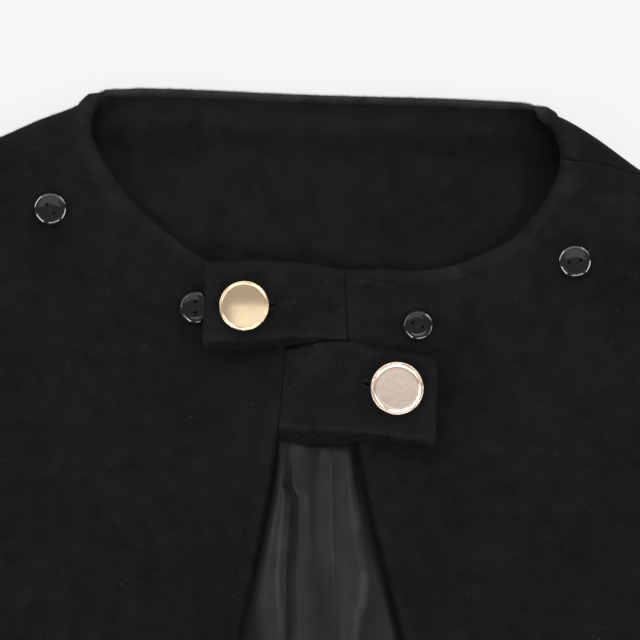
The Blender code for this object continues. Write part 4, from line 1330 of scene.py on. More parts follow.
@dataclass
class BackLining:
    """The satin lining of the back, from the facing down to just above the hem."""

    form: CloakForm
    facing: BackNeckFacing
    cloth: float = 0.001
    gap: float = 0.0003  # how far it lies above the back
    from_side: float = 0.012
    from_hem: float = 0.025
    under_front: float = 0.0013  # how high its folds may stand below the fronts
    seam: tuple[Pair, ...] = ((0.0067, 0.13), (0.0066, 0.22), (0.0071, 0.232), (0.008, 0.263))
    shaded: Pair = (0.0032, 0.0054)  # how far inside the right and the left front edge its painted shadow reaches
    crest: float = 0.0032  # how high its folds stand where they get no painted shade
    # how dark the painted shade in its valleys is
    valley_dark: float = 0.95
    seed: int = 211

    def inside(self, side: Side, x: Grid, depth: Grid) -> Grid:
        """Returns how far points lie inside the opening from one front edge."""
        return (self.form.front_edge[side].x_at(depth) - x) * side.value

    def opening(self, x: Grid, depth: Grid) -> Grid:
        """Works out how high its folds stand in the opening below the tabs.

        Args:
            x: The points' x.
            depth: Their depth.

        Returns:
            The height at each point.
        """
        table = np.array([points for _, points in OPENING_FOLDS]) / 1000
        steps = Line([(row_depth, index) for index, (row_depth, _) in enumerate(OPENING_FOLDS)])
        place = steps.second_at(depth)
        upper = np.clip(np.floor(place).astype(int), 0, len(table) - 2)
        share = np.clip(place - upper, 0, 1)[..., None, None]
        knots = table[upper] * (1 - share) + table[upper + 1] * share
        made = np.full(x.shape, table[0, 0, 1])
        for k in range(table.shape[1] - 1):
            (x0, h0), (x1, h1) = (np.moveaxis(knots[..., j, :], -1, 0) for j in (k, k + 1))
            made = np.where(x >= x0, h0 + (h1 - h0) * smoothstep(0.0, 1.0, (x - x0) / (x1 - x0)), made)
        return made

    def rise(self, plan: Grid, down: Grid) -> Grid:
        """Works out how high its folds stand.

        Args:
            plan: Its plan points.
            down: Their shares of the way down.

        Returns:
            The height at each point.
        """
        x, depth = plan[..., 0], plan[..., 1]
        share = smoothstep(0.15, 0.165, depth) * (1 - smoothstep(0.262, 0.3, depth))
        share = share * (1 - smoothstep(0.045, 0.06, np.abs(x)))
        long_folds = np.maximum.reduce([fold.relief(x, depth) for fold in LONG_FOLDS])
        rise = self.opening(x, depth) * share + long_folds * (1 - share)
        rise = rise + 0.0005 * (1 + unevenness(x, depth * 0.3, 0.022, self.seed)) / 2
        rise = rise + 0.00012 * unevenness(x, depth * 0.5, 0.006, self.seed + 1)
        seam_x = np.interp(depth, [p[1] for p in self.seam], [p[0] for p in self.seam])
        rise = np.maximum(rise - 0.0009 * bell(x, 0.0006, seam_x), 0.0)
        low, room = self.under_front * (1 - np.exp(-rise / self.under_front)), smoothstep(0.17, 0.184, depth)
        for side in Side:
            room = room * smoothstep(-0.001, 0.008, self.inside(side, x, depth))
        return (low * (1 - room) + rise * room) * smoothstep(0.0, 0.03, 1 - down)

    def shade(self, plan: Grid) -> Grid:
        """Works out its painted shade: painted shadow under and beside the fronts and the lower tab, and in
        its valleys.

        Args:
            plan: Its plan points.

        Returns:
            The painted shade at each point, from 0 to 1.
        """
        x, depth = plan[..., 0], plan[..., 1]
        foot = np.array([(row.foot_x, row.foot_depth + row.roll) for row in LOWER_TAB_ROWS])
        below = depth - np.interp(x, foot[:, 0], foot[:, 1])
        painted_shade = 1 - smoothstep(-0.003, 0.0024, below)
        for side in Side:
            painted_shade = np.maximum(painted_shade, 1 - smoothstep(0.0, side.of(self.shaded), self.inside(side, x, depth)))
        painted_shade = painted_shade * (1 - smoothstep(0.275, 0.33, depth))
        seen = (1 - smoothstep(0.04, 0.05, np.abs(x))) * (1 - smoothstep(0.262, 0.3, depth))
        valley = np.clip(1.1 - self.opening(x, depth) / self.crest, -0.15, 1)
        return np.clip(painted_shade + self.valley_dark * valley * seen * (1 - painted_shade), 0, 1)

    def shell(self) -> Shell:
        """Shapes the lining.

        Returns:
            Its shell.
        """
        form = self.form
        rim, ends = np.array([0.0, 0.00012, 0.0005, 0.0012]), np.linspace(0, 0.43, 22)[1:-1]
        folded = np.linspace(0.43, 0.57, 128)
        columns = np.array([*rim, *ends, *folded, *(1 - ends[::-1]), *(1 - rim[::-1])])
        rows = paced([0.0, 0.0002, 0.0005, 0.0009, 0.003], (0.04, 0.0026), (0.175, 0.0021), (0.69, 0.009))
        rows = np.array([*rows, 0.6951, 0.6955, 0.6958, 0.696]) / 0.696
        across, down = np.meshgrid(columns, rows)
        sides = [form.side_from(side, self.facing.share(side, 0.052), self.from_side) for side in Side]
        top = Line([sides[0](0.0), *self.facing.foot(self.gap * 2).points[10:-10:10], sides[1](0.0)])
        hem = [side(1.0) - (0.0, self.from_hem) for side in sides]
        plan = coons(across, down, top.at, form.hem_between(*hem), *sides)
        below = form.back_underside(plan) + form.back_cloth(plan) + self.gap + self.rise(plan, down)
        swell = rounded(np.minimum.reduce(rim_distances(form.placed(plan, below))), 0.0005)
        middle, half = below + self.cloth / 2, self.cloth / 2 * swell
        face, back = form.placed(plan, middle + half), form.placed(plan, middle - half)
        return Shell("back_lining_satin", face, back, plan, np.zeros(plan.shape[:2]), self.shade(plan))


@dataclass(frozen=True)
class TabRow:
    """A tab at one distance from its seam: its edges in plan, and how high its underside lies."""

    top_x: float
    top_depth: float
    foot_x: float
    foot_depth: float
    underside: float
    roll: float  # how far its rolled lower edge stands out below


UPPER_TAB_ROWS = (
    TabRow(0.0118, 0.0905, 0.0133, 0.1257, 0.0053, 0.0000),
    TabRow(0.002, 0.0888, 0.003, 0.1247, 0.007, 0.0008),
    TabRow(-0.011, 0.0878, -0.0105, 0.1244, 0.0104, 0.0036),
    TabRow(-0.025, 0.0875, -0.025, 0.1252, 0.0108, 0.0044),
    TabRow(-0.04, 0.0878, -0.0405, 0.1263, 0.0117, 0.0043),
    TabRow(-0.0517, 0.0885, -0.0528, 0.1271, 0.0133, 0.0036),
    TabRow(-0.0547, 0.089, -0.0561, 0.1273, 0.0139, 0.003),
)
LOWER_TAB_ROWS = (
    TabRow(-0.0162, 0.1288, -0.0197, 0.1668, 0.0053, 0.0062),
    TabRow(-0.0034, 0.1268, -0.005, 0.1678, 0.007, 0.0076),
    TabRow(0.012, 0.1262, 0.011, 0.169, 0.0094, 0.0068),
    TabRow(0.029, 0.1302, 0.028, 0.1709, 0.0103, 0.0032),
    TabRow(0.042, 0.1325, 0.04, 0.1728, 0.0114, 0.0022),
    TabRow(0.0559, 0.1348, 0.0545, 0.1746, 0.013, 0.0016),
)
RIGHT_CREASES = (
    Crease((-0.0307, 0.1369), (-0.056, 0.26), 0.004, 0.0004, 0.0),
    Crease((-0.135, 0.09), (-0.07, 0.13), 0.011, -0.0006, 0.004),
    Crease((-0.09, 0.15), (-0.05, 0.21), 0.009, 0.0005, 0.003),
    Crease((-0.16, 0.13), (-0.115, 0.24), 0.012, 0.0006, 0.006),
)
LEFT_CREASES = (
    Crease((0.0225, 0.0966), (0.039, 0.0976), 0.0016, -0.0006, 0.0),
    Crease((0.113, 0.056), (0.142, 0.074), 0.005, -0.0012, 0.002),
    Crease((0.121, 0.046), (0.15, 0.056), 0.004, -0.0009, -0.002),
    Crease((0.118, 0.064), (0.134, 0.095), 0.006, 0.0007, 0.002),
    Crease((0.0223, 0.0959), (0.038, 0.0977), 0.001, -0.0009, 0.0),
    Crease((0.08, 0.13), (0.062, 0.21), 0.01, 0.0005, -0.004),
    Crease((0.15, 0.13), (0.11, 0.22), 0.012, -0.0006, 0.004),
)
UPPER_TAB_CREASES = (
    Crease((-0.048, 0.115), (-0.005, 0.119), 0.005, 0.0004, 0.001),
    Crease((0.006, 0.093), (0.002, 0.122), 0.004, -0.0004, 0.001),
)
LOWER_TAB_CREASES = (
    Crease((0.0024, 0.13), (0.0028, 0.144), 0.0012, -0.0005, 0.0),
    Crease((-0.01, 0.142), (0.018, 0.156), 0.005, 0.0004, 0.002),
)


class Surface:
    """A piece's surface, to find what lies on it."""

    def __init__(self, piece: Object) -> None:
        """Reads the piece's mesh.

        Args:
            piece: The piece, at the origin.
        """
        mesh = piece.data
        points, corners = np.empty(len(mesh.vertices) * 3), np.empty(len(mesh.polygons) * 4, int)
        normals = np.empty(len(mesh.polygons) * 3)
        mesh.vertices.foreach_get("co", points)
        mesh.polygons.foreach_get("vertices", corners)
        mesh.polygons.foreach_get("normal", normals)
        self.points, self.corners, self.upward = points.reshape(-1, 3), corners.reshape(-1, 4), normals[2::3]
        self.depth = CloakForm.length / 2 - self.points[self.corners].mean(axis=1)[:, 1]
        self.tree = BVHTree.FromPolygons(self.points.tolist(), self.corners.tolist())

    def drop(self, x: float, y: float) -> tuple[Vector | None, Vector | None]:
        """Returns the highest point at that place and the normal there, or None beside the piece."""
        at, normal, _, _ = self.tree.ray_cast(Vector((x, y, 0.2)), Vector((0, 0, -1)))
        return at, -normal if normal and normal.z < 0 else normal

    def scatter(self, weights: Grid, count: int, seed: int) -> tuple[Grid, Grid]:
        """Picks random points of it.

        Args:
            weights: How dense they are on each face.
            count: How many.
            seed: Which of the random choices it is.

        Returns:
            The points and the normals there.
        """
        random = np.random.default_rng(seed)
        a, b, c, d = (self.points[self.corners[:, k]] for k in range(4))
        normals = np.cross(c - a, d - b)
        area = np.linalg.norm(normals, axis=1)
        chance = weights * area
        chosen = random.choice(len(area), count, p=chance / chance.sum())
        u, v = random.uniform(0, 1, (2, count, 1))
        points = (a[chosen] * (1 - u) + b[chosen] * u) * (1 - v) + (d[chosen] * (1 - u) + c[chosen] * u) * v
        return points, normals[chosen] / area[chosen, None]


@dataclass
class NeckTab:
    """A double wool tab with a buttonhole, sewn to one front edge and laid over the other."""

    form: CloakForm
    name: str
    rows: tuple[TabRow, ...]  # from its seam to its end
    button: Pair  # plan point of the button that goes through it
    sewn_to: Side
    creases: tuple[Crease, ...]
    seed: int
    slot_length: float
    cloth: float = 0.0048
    corner: float = 0.0032
    edge_round: float = 0.0024
    slot_width: float = 0.0034  # of the buttonhole, at the button's shank
    slot_narrow: float = 0.00025  # its width at its other end
    slot_widens: float = 0.0034  # how near its wide end it widens
    slot_past: float = 0.0022  # how far it reaches past the shank
    gap: float = 0.0001  # how far from the front edge its seam lies

    @property
    def length(self) -> float:
        """Returns its length from its seam."""
        return abs(self.rows[-1].top_x - self.rows[0].top_x)

    @property
    def height(self) -> float:
        """Returns its height at its end."""
        return self.rows[-1].foot_depth - self.rows[-1].top_depth

    @property
    def way(self) -> float:
        """Returns the sign of x along it."""
        return float(np.sign(self.rows[-1].top_x - self.rows[0].top_x))

    @property
    def shank(self) -> float:
        """Returns how far from its seam the button goes through it."""
        return (self.button[0] - self.rows[0].top_x) * self.way

    @property
    def slot(self) -> Pair:
        """Returns where its buttonhole starts and ends, from its seam."""
        return self.shank + self.slot_past - self.slot_length, self.shank + self.slot_past

    @property
    def slot_line(self) -> float:
        """Returns the share of its height at which the buttonhole lies."""
        top, foot = (float(self.value(name, self.shank)) for name in ("top_depth", "foot_depth"))
        return (self.button[1] - top) / (foot - top)

    def value(self, name: str, distance: Grid) -> Grid:
        """Returns one of its sizes at those distances from its seam."""
        line = Line([(abs(row.top_x - self.rows[0].top_x), getattr(row, name)) for row in self.rows])
        return line.second_at(distance)

    def slot_half(self, distance: Grid) -> Grid:
        """Returns half the width of its buttonhole at those distances from its seam."""
        opened = smoothstep(self.slot[1] - self.slot_widens, self.slot[1] - self.slot_past, distance)
        return (self.slot_narrow + (self.slot_width - self.slot_narrow) * opened) / 2

    def highest_near(self, x: float, reach: float) -> float:
        """Returns the highest that its upper face lies within that reach of an x."""
        near = abs(x - self.rows[0].top_x) + np.linspace(-reach, reach, 9)
        return float(self.value("underside", near).max()) + self.cloth

    def grid(self) -> tuple[Grid, Grid, int, int, int]:
        """Lays out its rows and columns.

        Returns:
            Distances from the seam, shares of the height, and the buttonhole's row, first and last column.
        """
        start, end = self.slot
        far = [self.length - place for place in reversed(edge_steps(self.edge_round, 0.0008, 2))]
        along = paced(edge_steps(0.001, 0.0008, 2), (start, 0.0011), (end, 0.0009), (far[0], 0.0009))
        along = np.array(along[:-1] + far)
        rim = (np.array(edge_steps(self.edge_round, 0.0008, 2)) / self.height).tolist()
        middle = self.slot_line
        upper = paced(rim, (middle, 0.027))
        lines = np.array(upper + [1 - share for share in reversed(paced(rim, (1 - middle, 0.027)))])
        share = np.repeat(lines[:, None], len(along), axis=1)
        shift = self.slot_half(along) / self.height * bell(np.abs(lines - middle)[:, None], 0.06)
        share[: len(upper)] -= shift[: len(upper)]
        share[len(upper) :] += shift[len(upper) :]
        first, last = (int(np.argmin(np.abs(along - place))) for place in self.slot)
        return np.repeat(along[None, :], len(lines), axis=0), share, len(upper) - 1, first, last

    def plan(self, distance: Grid, line: Grid) -> Grid:
        """Finds plan points of its upper face, with rounded corners and its end along the seam.

        Args:
            distance: How far they lie from the seam.
            line: At which share of its height.

        Returns:
            The plan points.
        """
        rim = np.minimum(line, 1 - line)
        bend = self.corner / self.height
        inside = np.clip((bend - rim) / bend, 0, 1)
        pull = (1 - np.sqrt(1 - inside**2 * 0.98)) * self.corner
        distance = distance - pull * smoothstep(0.5, 1.0, distance / self.length)
        top = np.stack([self.value(name, distance) for name in ("top_x", "top_depth")], axis=-1)
        foot = np.stack([self.value(name, distance) for name in ("foot_x", "foot_depth")], axis=-1)
        plan = top + (foot - top) * line[..., None]
        wavy = unevenness(distance, line * self.height, 0.0065, self.seed + 3)
        wavy = wavy + unevenness(distance, line * self.height, 0.003, self.seed + 4) * 0.5
        plan[..., 1] += 0.00028 * wavy * (1 - smoothstep(0.0, 0.3, rim))
        seam_x = self.form.front_edge[self.sewn_to].x_at(plan[..., 1]) + self.way * self.gap
        straight = self.rows[0].top_x + (self.rows[0].foot_x - self.rows[0].top_x) * line
        plan[..., 0] += (seam_x - straight) * (1 - smoothstep(0.0, 0.5, distance / self.length))
        return plan

    def shell(self) -> Shell:
        """Shapes the tab.

        Returns:
            Its shell.
        """
        distance, line, slot_row, first, last = self.grid()
        plan = self.plan(distance, line)
        x, depth = plan[..., 0], plan[..., 1]
        edge = distance_from(plan, np.vstack([plan[0, :], plan[1:, -1], plan[-1, -2::-1]]))
        seam, foot = distance_from(plan, plan[:, 0]), distance_from(plan, plan[-1])
        hole = np.vstack([plan[slot_row, first : last + 1], plan[slot_row + 1, first : last + 1][::-1]])
        slot = distance_from(plan, np.vstack([hole, hole[:1]]))
        roll = self.value("roll", distance) * smoothstep(1 - 2 * self.corner / self.height, 1.0, line)
        squarer = 2.0 + 2.0 * smoothstep(0.7, 0.9, line)
        swell = np.minimum(rounded(edge, self.edge_round, squarer), rounded(seam, 0.0009, 4.5))
        swell = np.minimum(swell, 0.25 + 0.75 * rounded(slot, 0.0012))
        relief = soft_unevenness(x, depth, self.seed) * 0.8
        relief = relief + 0.00016 * unevenness(x, depth, 0.007, self.seed + 5)
        relief = relief + 0.0003 * bell(edge, 0.002, 0.0045) - 0.0003 * np.exp(-edge / 0.004)
        relief = relief + 0.00035 * bell(slot, 0.001, 0.0014)
        for crease in self.creases:
            relief = relief + crease.relief(x, depth)
        relief = relief * smoothstep(0.0, 0.002, np.minimum(edge, slot))
        middle, half = self.value("underside", distance) + self.cloth / 2, self.cloth / 2 * swell
        low_out = np.stack([0 * roll, roll], axis=-1)
        face = self.form.placed(plan + low_out * (0.5 - 0.5 * swell)[..., None], middle + half + relief)
        back = self.form.placed(plan + low_out * (0.5 + 0.5 * swell)[..., None], middle - half)
        # Painted highlight all over the tab and above its foot, with rubbed nap and painted highlight near
        # its edges and buttonhole.
        wear_and_highlight = 0.055 + 0.02 * np.exp(-np.minimum(edge, slot) / 0.003) + 0.05 * np.exp(-edge / 0.0008)
        wear_and_highlight = wear_and_highlight + 0.09 * bell(foot, 0.0014, 0.0014)
        # Painted shade on its rolled lower edge.
        painted_shade = 0.85 * (1 - smoothstep(0.0, 0.0006, foot)) * smoothstep(0.0, 0.003, roll)
        skipped = [(slot_row, column) for column in range(first, last)]
        return Shell(self.name, face, back, plan, wear_and_highlight, painted_shade, skipped)

    def stitches(self, face: Surface) -> tuple[Grid, Grid]:
        """Lays out the stitches round its buttonhole.

        Args:
            face: Its surface.

        Returns:
            Points along each stitch, and the directions out of the cloth.
        """
        paths = []
        for side in (-1, 1):
            for distance in np.arange(self.slot[0] - 0.0006, self.slot[1] - self.slot_past, 0.00048):
                half = float(self.slot_half(distance)) + 0.00012
                shares = self.slot_line + side * np.linspace(half, half + 0.0019, 5) / self.height
                at = self.plan(np.full(5, distance), shares)
                spots = [face.drop(x, self.form.length / 2 - depth) for x, depth in at]
                if any(spot is None for spot, _ in spots):
                    continue
                lift = (-0.0002, 0.00016, 0.0002, 0.00016, -0.0001)
                paths.append([spot + normal * high for (spot, normal), high in zip(spots, lift)])
        return np.array(paths), np.tile((0.0, 0.0, 1.0), (len(paths), 1))


def strands(name: str, paths: Grid, up: Grid, radius: float, finish: Material, sides: int = 4) -> Object:
    """Makes thin round strands, joined in one mesh, and dresses them.

    Args:
        name: The piece's name.
        paths: Points along each strand.
        up: A direction that each strand doesn't run in.
        radius: Their radius.
        finish: Their material.
        sides: Points round each.

    Returns:
        The new object.
    """
    count, length = paths.shape[:2]
    along = unit(np.gradient(paths, axis=1))
    sideways = unit(np.cross(along, up[:, None, :]))
    other = np.cross(sideways, along)
    thin = radius * np.where(np.isin(np.arange(length), (0, length - 1)), 0.5, 1.0)[:, None]
    rings = []
    for angle in np.arange(sides) * 2 * math.pi / sides:
        rings.append(paths + thin * (math.cos(angle) * sideways + math.sin(angle) * other))
    points = np.stack(rings, axis=2).reshape(-1, 3)
    index = np.arange(count * length * sides).reshape(count, length, sides)
    after = np.roll(index, -1, axis=2)
    quads = np.stack([index[:, :-1], after[:, :-1], after[:, 1:], index[:, 1:]], axis=-1).reshape(-1, 4)
    faces = [*quads.tolist(), *index[:, 0, ::-1].tolist(), *index[:, -1].tolist()]
    return dress(new_piece(name, points, faces, finish), "wool")


@dataclass(frozen=True)
class Nap:
    """Fibres that stand out of wool along its edges and folds."""

    count: int
    seed: int
    shortest: float = 0.0006
    longest: float = 0.0018
    width: float = 0.00008  # of a fibre at its foot
    close: float = 0.26  # how far down the garment they are dense

    def build(self, piece: Object, finish: Material) -> Object:
        """Makes the fibres.

        Args:
            piece: The wool that they stand on.
            finish: Their material.

        Returns:
            The new object.
        """
        random = np.random.default_rng(self.seed)
        surface = Surface(piece)
        wear_and_highlight, upward = np.empty(len(surface.points)), surface.upward
        # Fibres stand densest where the cloth has rubbed nap and painted highlight.
        piece.data.attributes["wear_and_highlight"].data.foreach_get("value", wear_and_highlight)
        worn_and_lit = wear_and_highlight[surface.corners].mean(axis=1)
        weights = 12 * np.clip(worn_and_lit - 0.12, 0, 1) ** 2 + 0.16 * (np.abs(upward) < 0.75) * (upward > -0.3)
        weights = weights * (0.05 + 0.95 * (1 - smoothstep(self.close, self.close + 0.1, surface.depth)))
        roots, out = surface.scatter((weights + 0.002) * (upward > -0.5), self.count, self.seed)
        lean = random.normal(0, 1, roots.shape)
        lean -= out * (lean * out).sum(axis=1, keepdims=True)
        ways = unit(out + lean * 0.75)
        lengths = random.uniform(self.shortest, self.longest, (self.count, 1))
        first = np.cross(ways, random.normal(0, 1, roots.shape))
        first *= self.width / 2 / np.linalg.norm(first, axis=1, keepdims=True)
        second = np.cross(ways, first)
        feet = roots - ways * 0.00015
        ring = [feet + first, feet - first * 0.5 + second * 0.87, feet - first * 0.5 - second * 0.87]
        points = np.stack([*ring, roots + ways * lengths], axis=1).reshape(-1, 3)
        corner = np.arange(self.count)[:, None, None] * 4
        faces = (corner + np.array([[0, 2, 1], [0, 1, 3], [1, 2, 3], [2, 0, 3]])).reshape(-1, 3)
        return dress(new_piece(piece.name.replace("cloth", "nap"), points, faces.tolist(), finish), "wool")


@dataclass(frozen=True)
class Lint:
    """Bits of pale lint that cling to the wool."""

    count: int
    seed: int
    radius: float = 0.0001
    longest: float = 0.001
    close: float = 0.3  # how far down the garment they lie

    def build(self, piece: Object, finish: Material) -> Object:
        """Makes the lint.

        Args:
            piece: The wool that it lies on.
            finish: Its material.

        Returns:
            The new object.
        """
        random = np.random.default_rng(self.seed)
        surface = Surface(piece)
        at, up = surface.scatter((surface.upward > 0.8) * (surface.depth < self.close), self.count, self.seed)
        way = np.cross(up, random.normal(0, 1, at.shape))
        lengths = random.uniform(0.3, 1.0, (self.count, 1)) * self.longest
        way *= lengths / np.linalg.norm(way, axis=1, keepdims=True)
        bend = np.cross(up, way) * random.uniform(-0.6, 0.6, (self.count, 1))
        shares = (-0.5, -0.25, 0.0, 0.25, 0.5)
        paths = [at + up * self.radius + way * share + bend * (0.25 - share**2) for share in shares]
        name = piece.name.replace("cloth", "lint")
        return strands(name, np.stack(paths, axis=1), up, self.radius, finish, 3)


class Turning:
    """A round body turned from a ring with Blender's own operators."""

    def __init__(self, name: str, sides: int, profile: Sequence[Pair]) -> None:
        """Builds the body about the Z axis.

        Args:
            name: The object's name.
            sides: Points round it.
            profile: Radius and height of each ring, from its top pole to its foot pole.
        """
        bpy.ops.object.select_all(action="DESELECT")
        radius, height = profile[1]
        bpy.ops.mesh.primitive_circle_add(vertices=sides, radius=radius, location=(0, 0, height))
        self.piece = bpy.context.object
        self.piece.name = self.piece.data.name = name
        bpy.ops.object.transform_apply()
        bpy.ops.object.mode_set(mode="EDIT")
        bpy.ops.mesh.select_all(action="SELECT")
        self.pole(profile[0][1] - height)
        self.select_ring(radius, height)
        for (before, low), (after, high) in zip(profile[1:-2], profile[2:-1]):
            bpy.ops.mesh.extrude_region_move(TRANSFORM_OT_translate={"value": (0, 0, high - low)})
            ratio = after / before
            bpy.ops.transform.resize(value=(ratio, ratio, 1), center_override=(0, 0, high))
        self.pole(profile[-1][1] - profile[-2][1])
        bpy.ops.mesh.select_all(action="SELECT")
        bpy.ops.mesh.remove_doubles(threshold=1e-6)
        bpy.ops.mesh.normals_make_consistent(inside=False)
        bpy.ops.object.mode_set(mode="OBJECT")
        bpy.ops.object.shade_smooth()
        apply_modifier(self.piece, "SUBSURF", levels=1, render_levels=1)

    def pole(self, rise: float) -> None:
        """Closes the selected ring with a pole that lies that far above it."""
        bpy.ops.mesh.extrude_region_move(TRANSFORM_OT_translate={"value": (0, 0, rise)})
        bpy.ops.mesh.merge(type="CENTER")

    def select_ring(self, radius: float, height: float) -> None:
        """Selects a ring of points and its edges.

        Args:
            radius: The ring's radius.
            height: Its height.
        """
        bpy.ops.mesh.select_all(action="DESELECT")
        mesh = bmesh.from_edit_mesh(self.piece.data)
        ring = set()
        for vert in mesh.verts:
            if abs(math.hypot(vert.co.x, vert.co.y) - radius) < 1e-6 and abs(vert.co.z - height) < 1e-6:
                ring.add(vert)
        for edge in mesh.edges:
            if ring.issuperset(edge.verts):
                edge.select = True
        bmesh.update_edit_mesh(self.piece.data)

    def finished(self, place: Matrix, finish: Material) -> Object:
        """Moves the body's mesh to its place and gives it its material.

        Args:
            place: Its place.
            finish: Its material.

        Returns:
            The body, its object at the origin.
        """
        self.piece.data.transform(place)
        self.piece.matrix_world = Matrix.Identity(4)
        self.piece.data.materials.append(finish)
        return self.piece


def apply_modifier(piece: Object, kind: str, **settings: object) -> None:
    """Adds a modifier to a piece and applies it.

    Args:
        piece: The piece.
        kind: The modifier's type.
        settings: Its settings.
    """
    bpy.ops.object.select_all(action="DESELECT")
    piece.select_set(True)
    bpy.context.view_layer.objects.active = piece
    modifier = piece.modifiers.new(kind.title(), kind)
    for name, value in settings.items():
        setattr(modifier, name, value)
    bpy.ops.object.modifier_apply(modifier=modifier.name)


@dataclass(frozen=True)
class GoldButton:
    """A domed metal button with a raised rim, on a shank that goes through its buttonhole."""

    name: str
    tilt: Pair  # about x and y, in degrees
    radius: float
    bevel: float  # width of the slope between its face and its rim
    dome: float = 0.0009  # how far its middle stands above the edge of its face
    base_radius: float = 0.0103
    height: float = 0.0036
    shank: float = 0.0014
    shank_foot: float = 0.01  # height at which its shank ends

    def build(self, tab: NeckTab, finish: Material) -> Object:
        """Makes the button and dresses it.

        Args:
            tab: The tab that it is on.
            finish: Its material.

        Returns:
            The new object.
        """
        tipped = self.base_radius * math.sin(math.radians(abs(self.tilt[0])))
        seat = tab.highest_near(tab.button[0], self.base_radius) + 0.0003 + 0.6 * tipped
        face, groove, foot = self.height - 0.001, self.radius - 0.0012, self.shank_foot - seat
        inner, low = groove - self.bevel, face - 0.52 * self.bevel
        profile = [(0.0, face + self.dome)]
        for share in (0.12, 0.3, 0.5, 0.7, 0.86, 0.97):
            profile.append((inner * share, face + self.dome * (1 - share**2)))
        profile += [
            (inner + 0.00012, face - 0.00004), (groove - 0.0001, low), (groove + 0.0001, low),
            (groove + 0.0003, face - 0.00002), (groove + 0.00065, face + 0.00008),
            (groove + 0.00105, face - 0.00012), (self.radius, face - 0.0006),
            (self.radius - 0.0002, face - 0.0013), (self.base_radius + 0.0004, 0.0002),
            (self.base_radius, 0.0), (self.shank * 2.2, 0.0), (self.shank * 1.1, -0.0004),
            (self.shank, -0.001), (self.shank, foot + 0.0001), (self.shank * 0.9, foot), (0.0, foot),
        ]
        body = Turning(self.name, 64, profile)
        turns = [Matrix.Rotation(math.radians(turn), 4, axis) for turn, axis in zip(self.tilt, "XY")]
        at = Matrix.Translation((tab.button[0], tab.form.length / 2 - tab.button[1], seat))
        node = self.name.replace("plate", "button")
        return dress(body.finished(at @ (turns[0] @ turns[1]), finish), "gold_metal", node)


@dataclass(frozen=True)
class CollarButton:
    """A glossy two-hole button with a raised rim, sewn flat to the cloth."""

    name: str
    place: Pair
    turn: float  # of its holes, in degrees
    lean: float  # how far it leans, in degrees
    lean_way: float
    radius: float = 0.0079
    hole: float = 0.0008
    spacing: float = 0.005
    seat: float = 0.0004

    PROFILE = (
        (0.0, 0.00145), (0.0012, 0.00145), (0.0034, 0.00149), (0.005, 0.00165), (0.0057, 0.00183),
        (0.0061, 0.0019), (0.0064, 0.00188), (0.0067, 0.00176), (0.0071, 0.00156), (0.0075, 0.00134),
        (0.0077, 0.00121), (0.0079, 0.001), (0.0077, 0.0008), (0.0068, 0.0004), (0.005, 0.00005),
        (0.004, 0.0), (0.0, 0.0),
    )

    def spot(self, form: CloakForm, front: Surface) -> Matrix:
        """Finds its place on the front below it.

        Args:
            form: The garment's form.
            front: The front's surface.

        Returns:
            Its place.
        """
        at, normal = front.drop(self.place[0], form.length / 2 - self.place[1])
        lean, way = math.radians(self.lean), math.radians(self.lean_way)
        spot = Matrix.Translation(at + normal * (self.seat + 0.005 * math.sin(lean)))
        spot = spot @ normal.to_track_quat("Z", "Y").to_matrix().to_4x4()
        spot = spot @ Matrix.Rotation(lean, 4, (math.cos(way), math.sin(way), 0.0))
        return spot @ Matrix.Rotation(math.radians(self.turn), 4, "Z")

    def threads(self, spot: Matrix) -> Grid:
        """Lays out the threads that hold it, over its face and through both holes.

        Args:
            spot: Its place.

        Returns:
            Points along each thread.
        """
        half = [(-1, 0.0002), (-1, 0.0009), (-0.9, 0.00145), (-0.5, 0.00145), (0.0, 0.0014)]
        path = half + [(-share, high) for share, high in reversed(half[:-1])]
        paths = []
        for offset in (-0.00013, 0.00013):
            paths.append([spot @ Vector((share * self.spacing / 2, offset, high)) for share, high in path])
        return np.array(paths)

    def build(self, spot: Matrix, finish: Material) -> Object:
        """Makes the button and dresses it.

        Args:
            spot: Its place.
            finish: Its material.

        Returns:
            The new object.
        """
        scale = self.radius / 0.0079
        body = Turning(self.name, 40, [(place * scale, high) for place, high in self.PROFILE])
        for side in (-1, 1):
            bpy.ops.object.select_all(action="DESELECT")
            at = (side * self.spacing / 2, 0, 0.0015)
            bpy.ops.mesh.primitive_cylinder_add(vertices=20, radius=self.hole, depth=0.008, location=at)
            drill = bpy.context.object
            apply_modifier(body.piece, "BOOLEAN", operation="DIFFERENCE", object=drill, solver="EXACT")
            bpy.data.objects.remove(drill)
        button = body.finished(spot, finish)
        bpy.ops.object.shade_smooth_by_angle(angle=math.radians(40))
        return dress(button, "black_plastic", "collar_button_" + self.name.removesuffix("_button"))


@dataclass(frozen=True)
class Softbox:
    """A light panel of the studio. Its azimuth is in degrees from +X towards +Y."""

    name: str
    azimuth: float
    elevation: float
    size: Pair
    radiance: float
    distance: float

    def build(self, middle: Vector) -> None:
        """Puts the panel in the scene, facing the middle.

        Args:
            middle: The point that it faces.
        """
        data = bpy.data.lights.new(self.name, "AREA")
        data.shape = "RECTANGLE"
        data.size, data.size_y = self.size
        data.energy = self.radiance * math.pi * self.size[0] * self.size[1]
        azimuth, elevation = math.radians(self.azimuth), math.radians(self.elevation)
        level = math.cos(elevation)
        way = Vector((level * math.cos(azimuth), level * math.sin(azimuth), math.sin(elevation)))
        lamp = bpy.data.objects.new(self.name, data)
        lamp.location = middle + way * self.distance
        lamp.rotation_euler = (-way).to_track_quat("-Z", "Y").to_euler()
        bpy.context.scene.collection.objects.link(lamp)


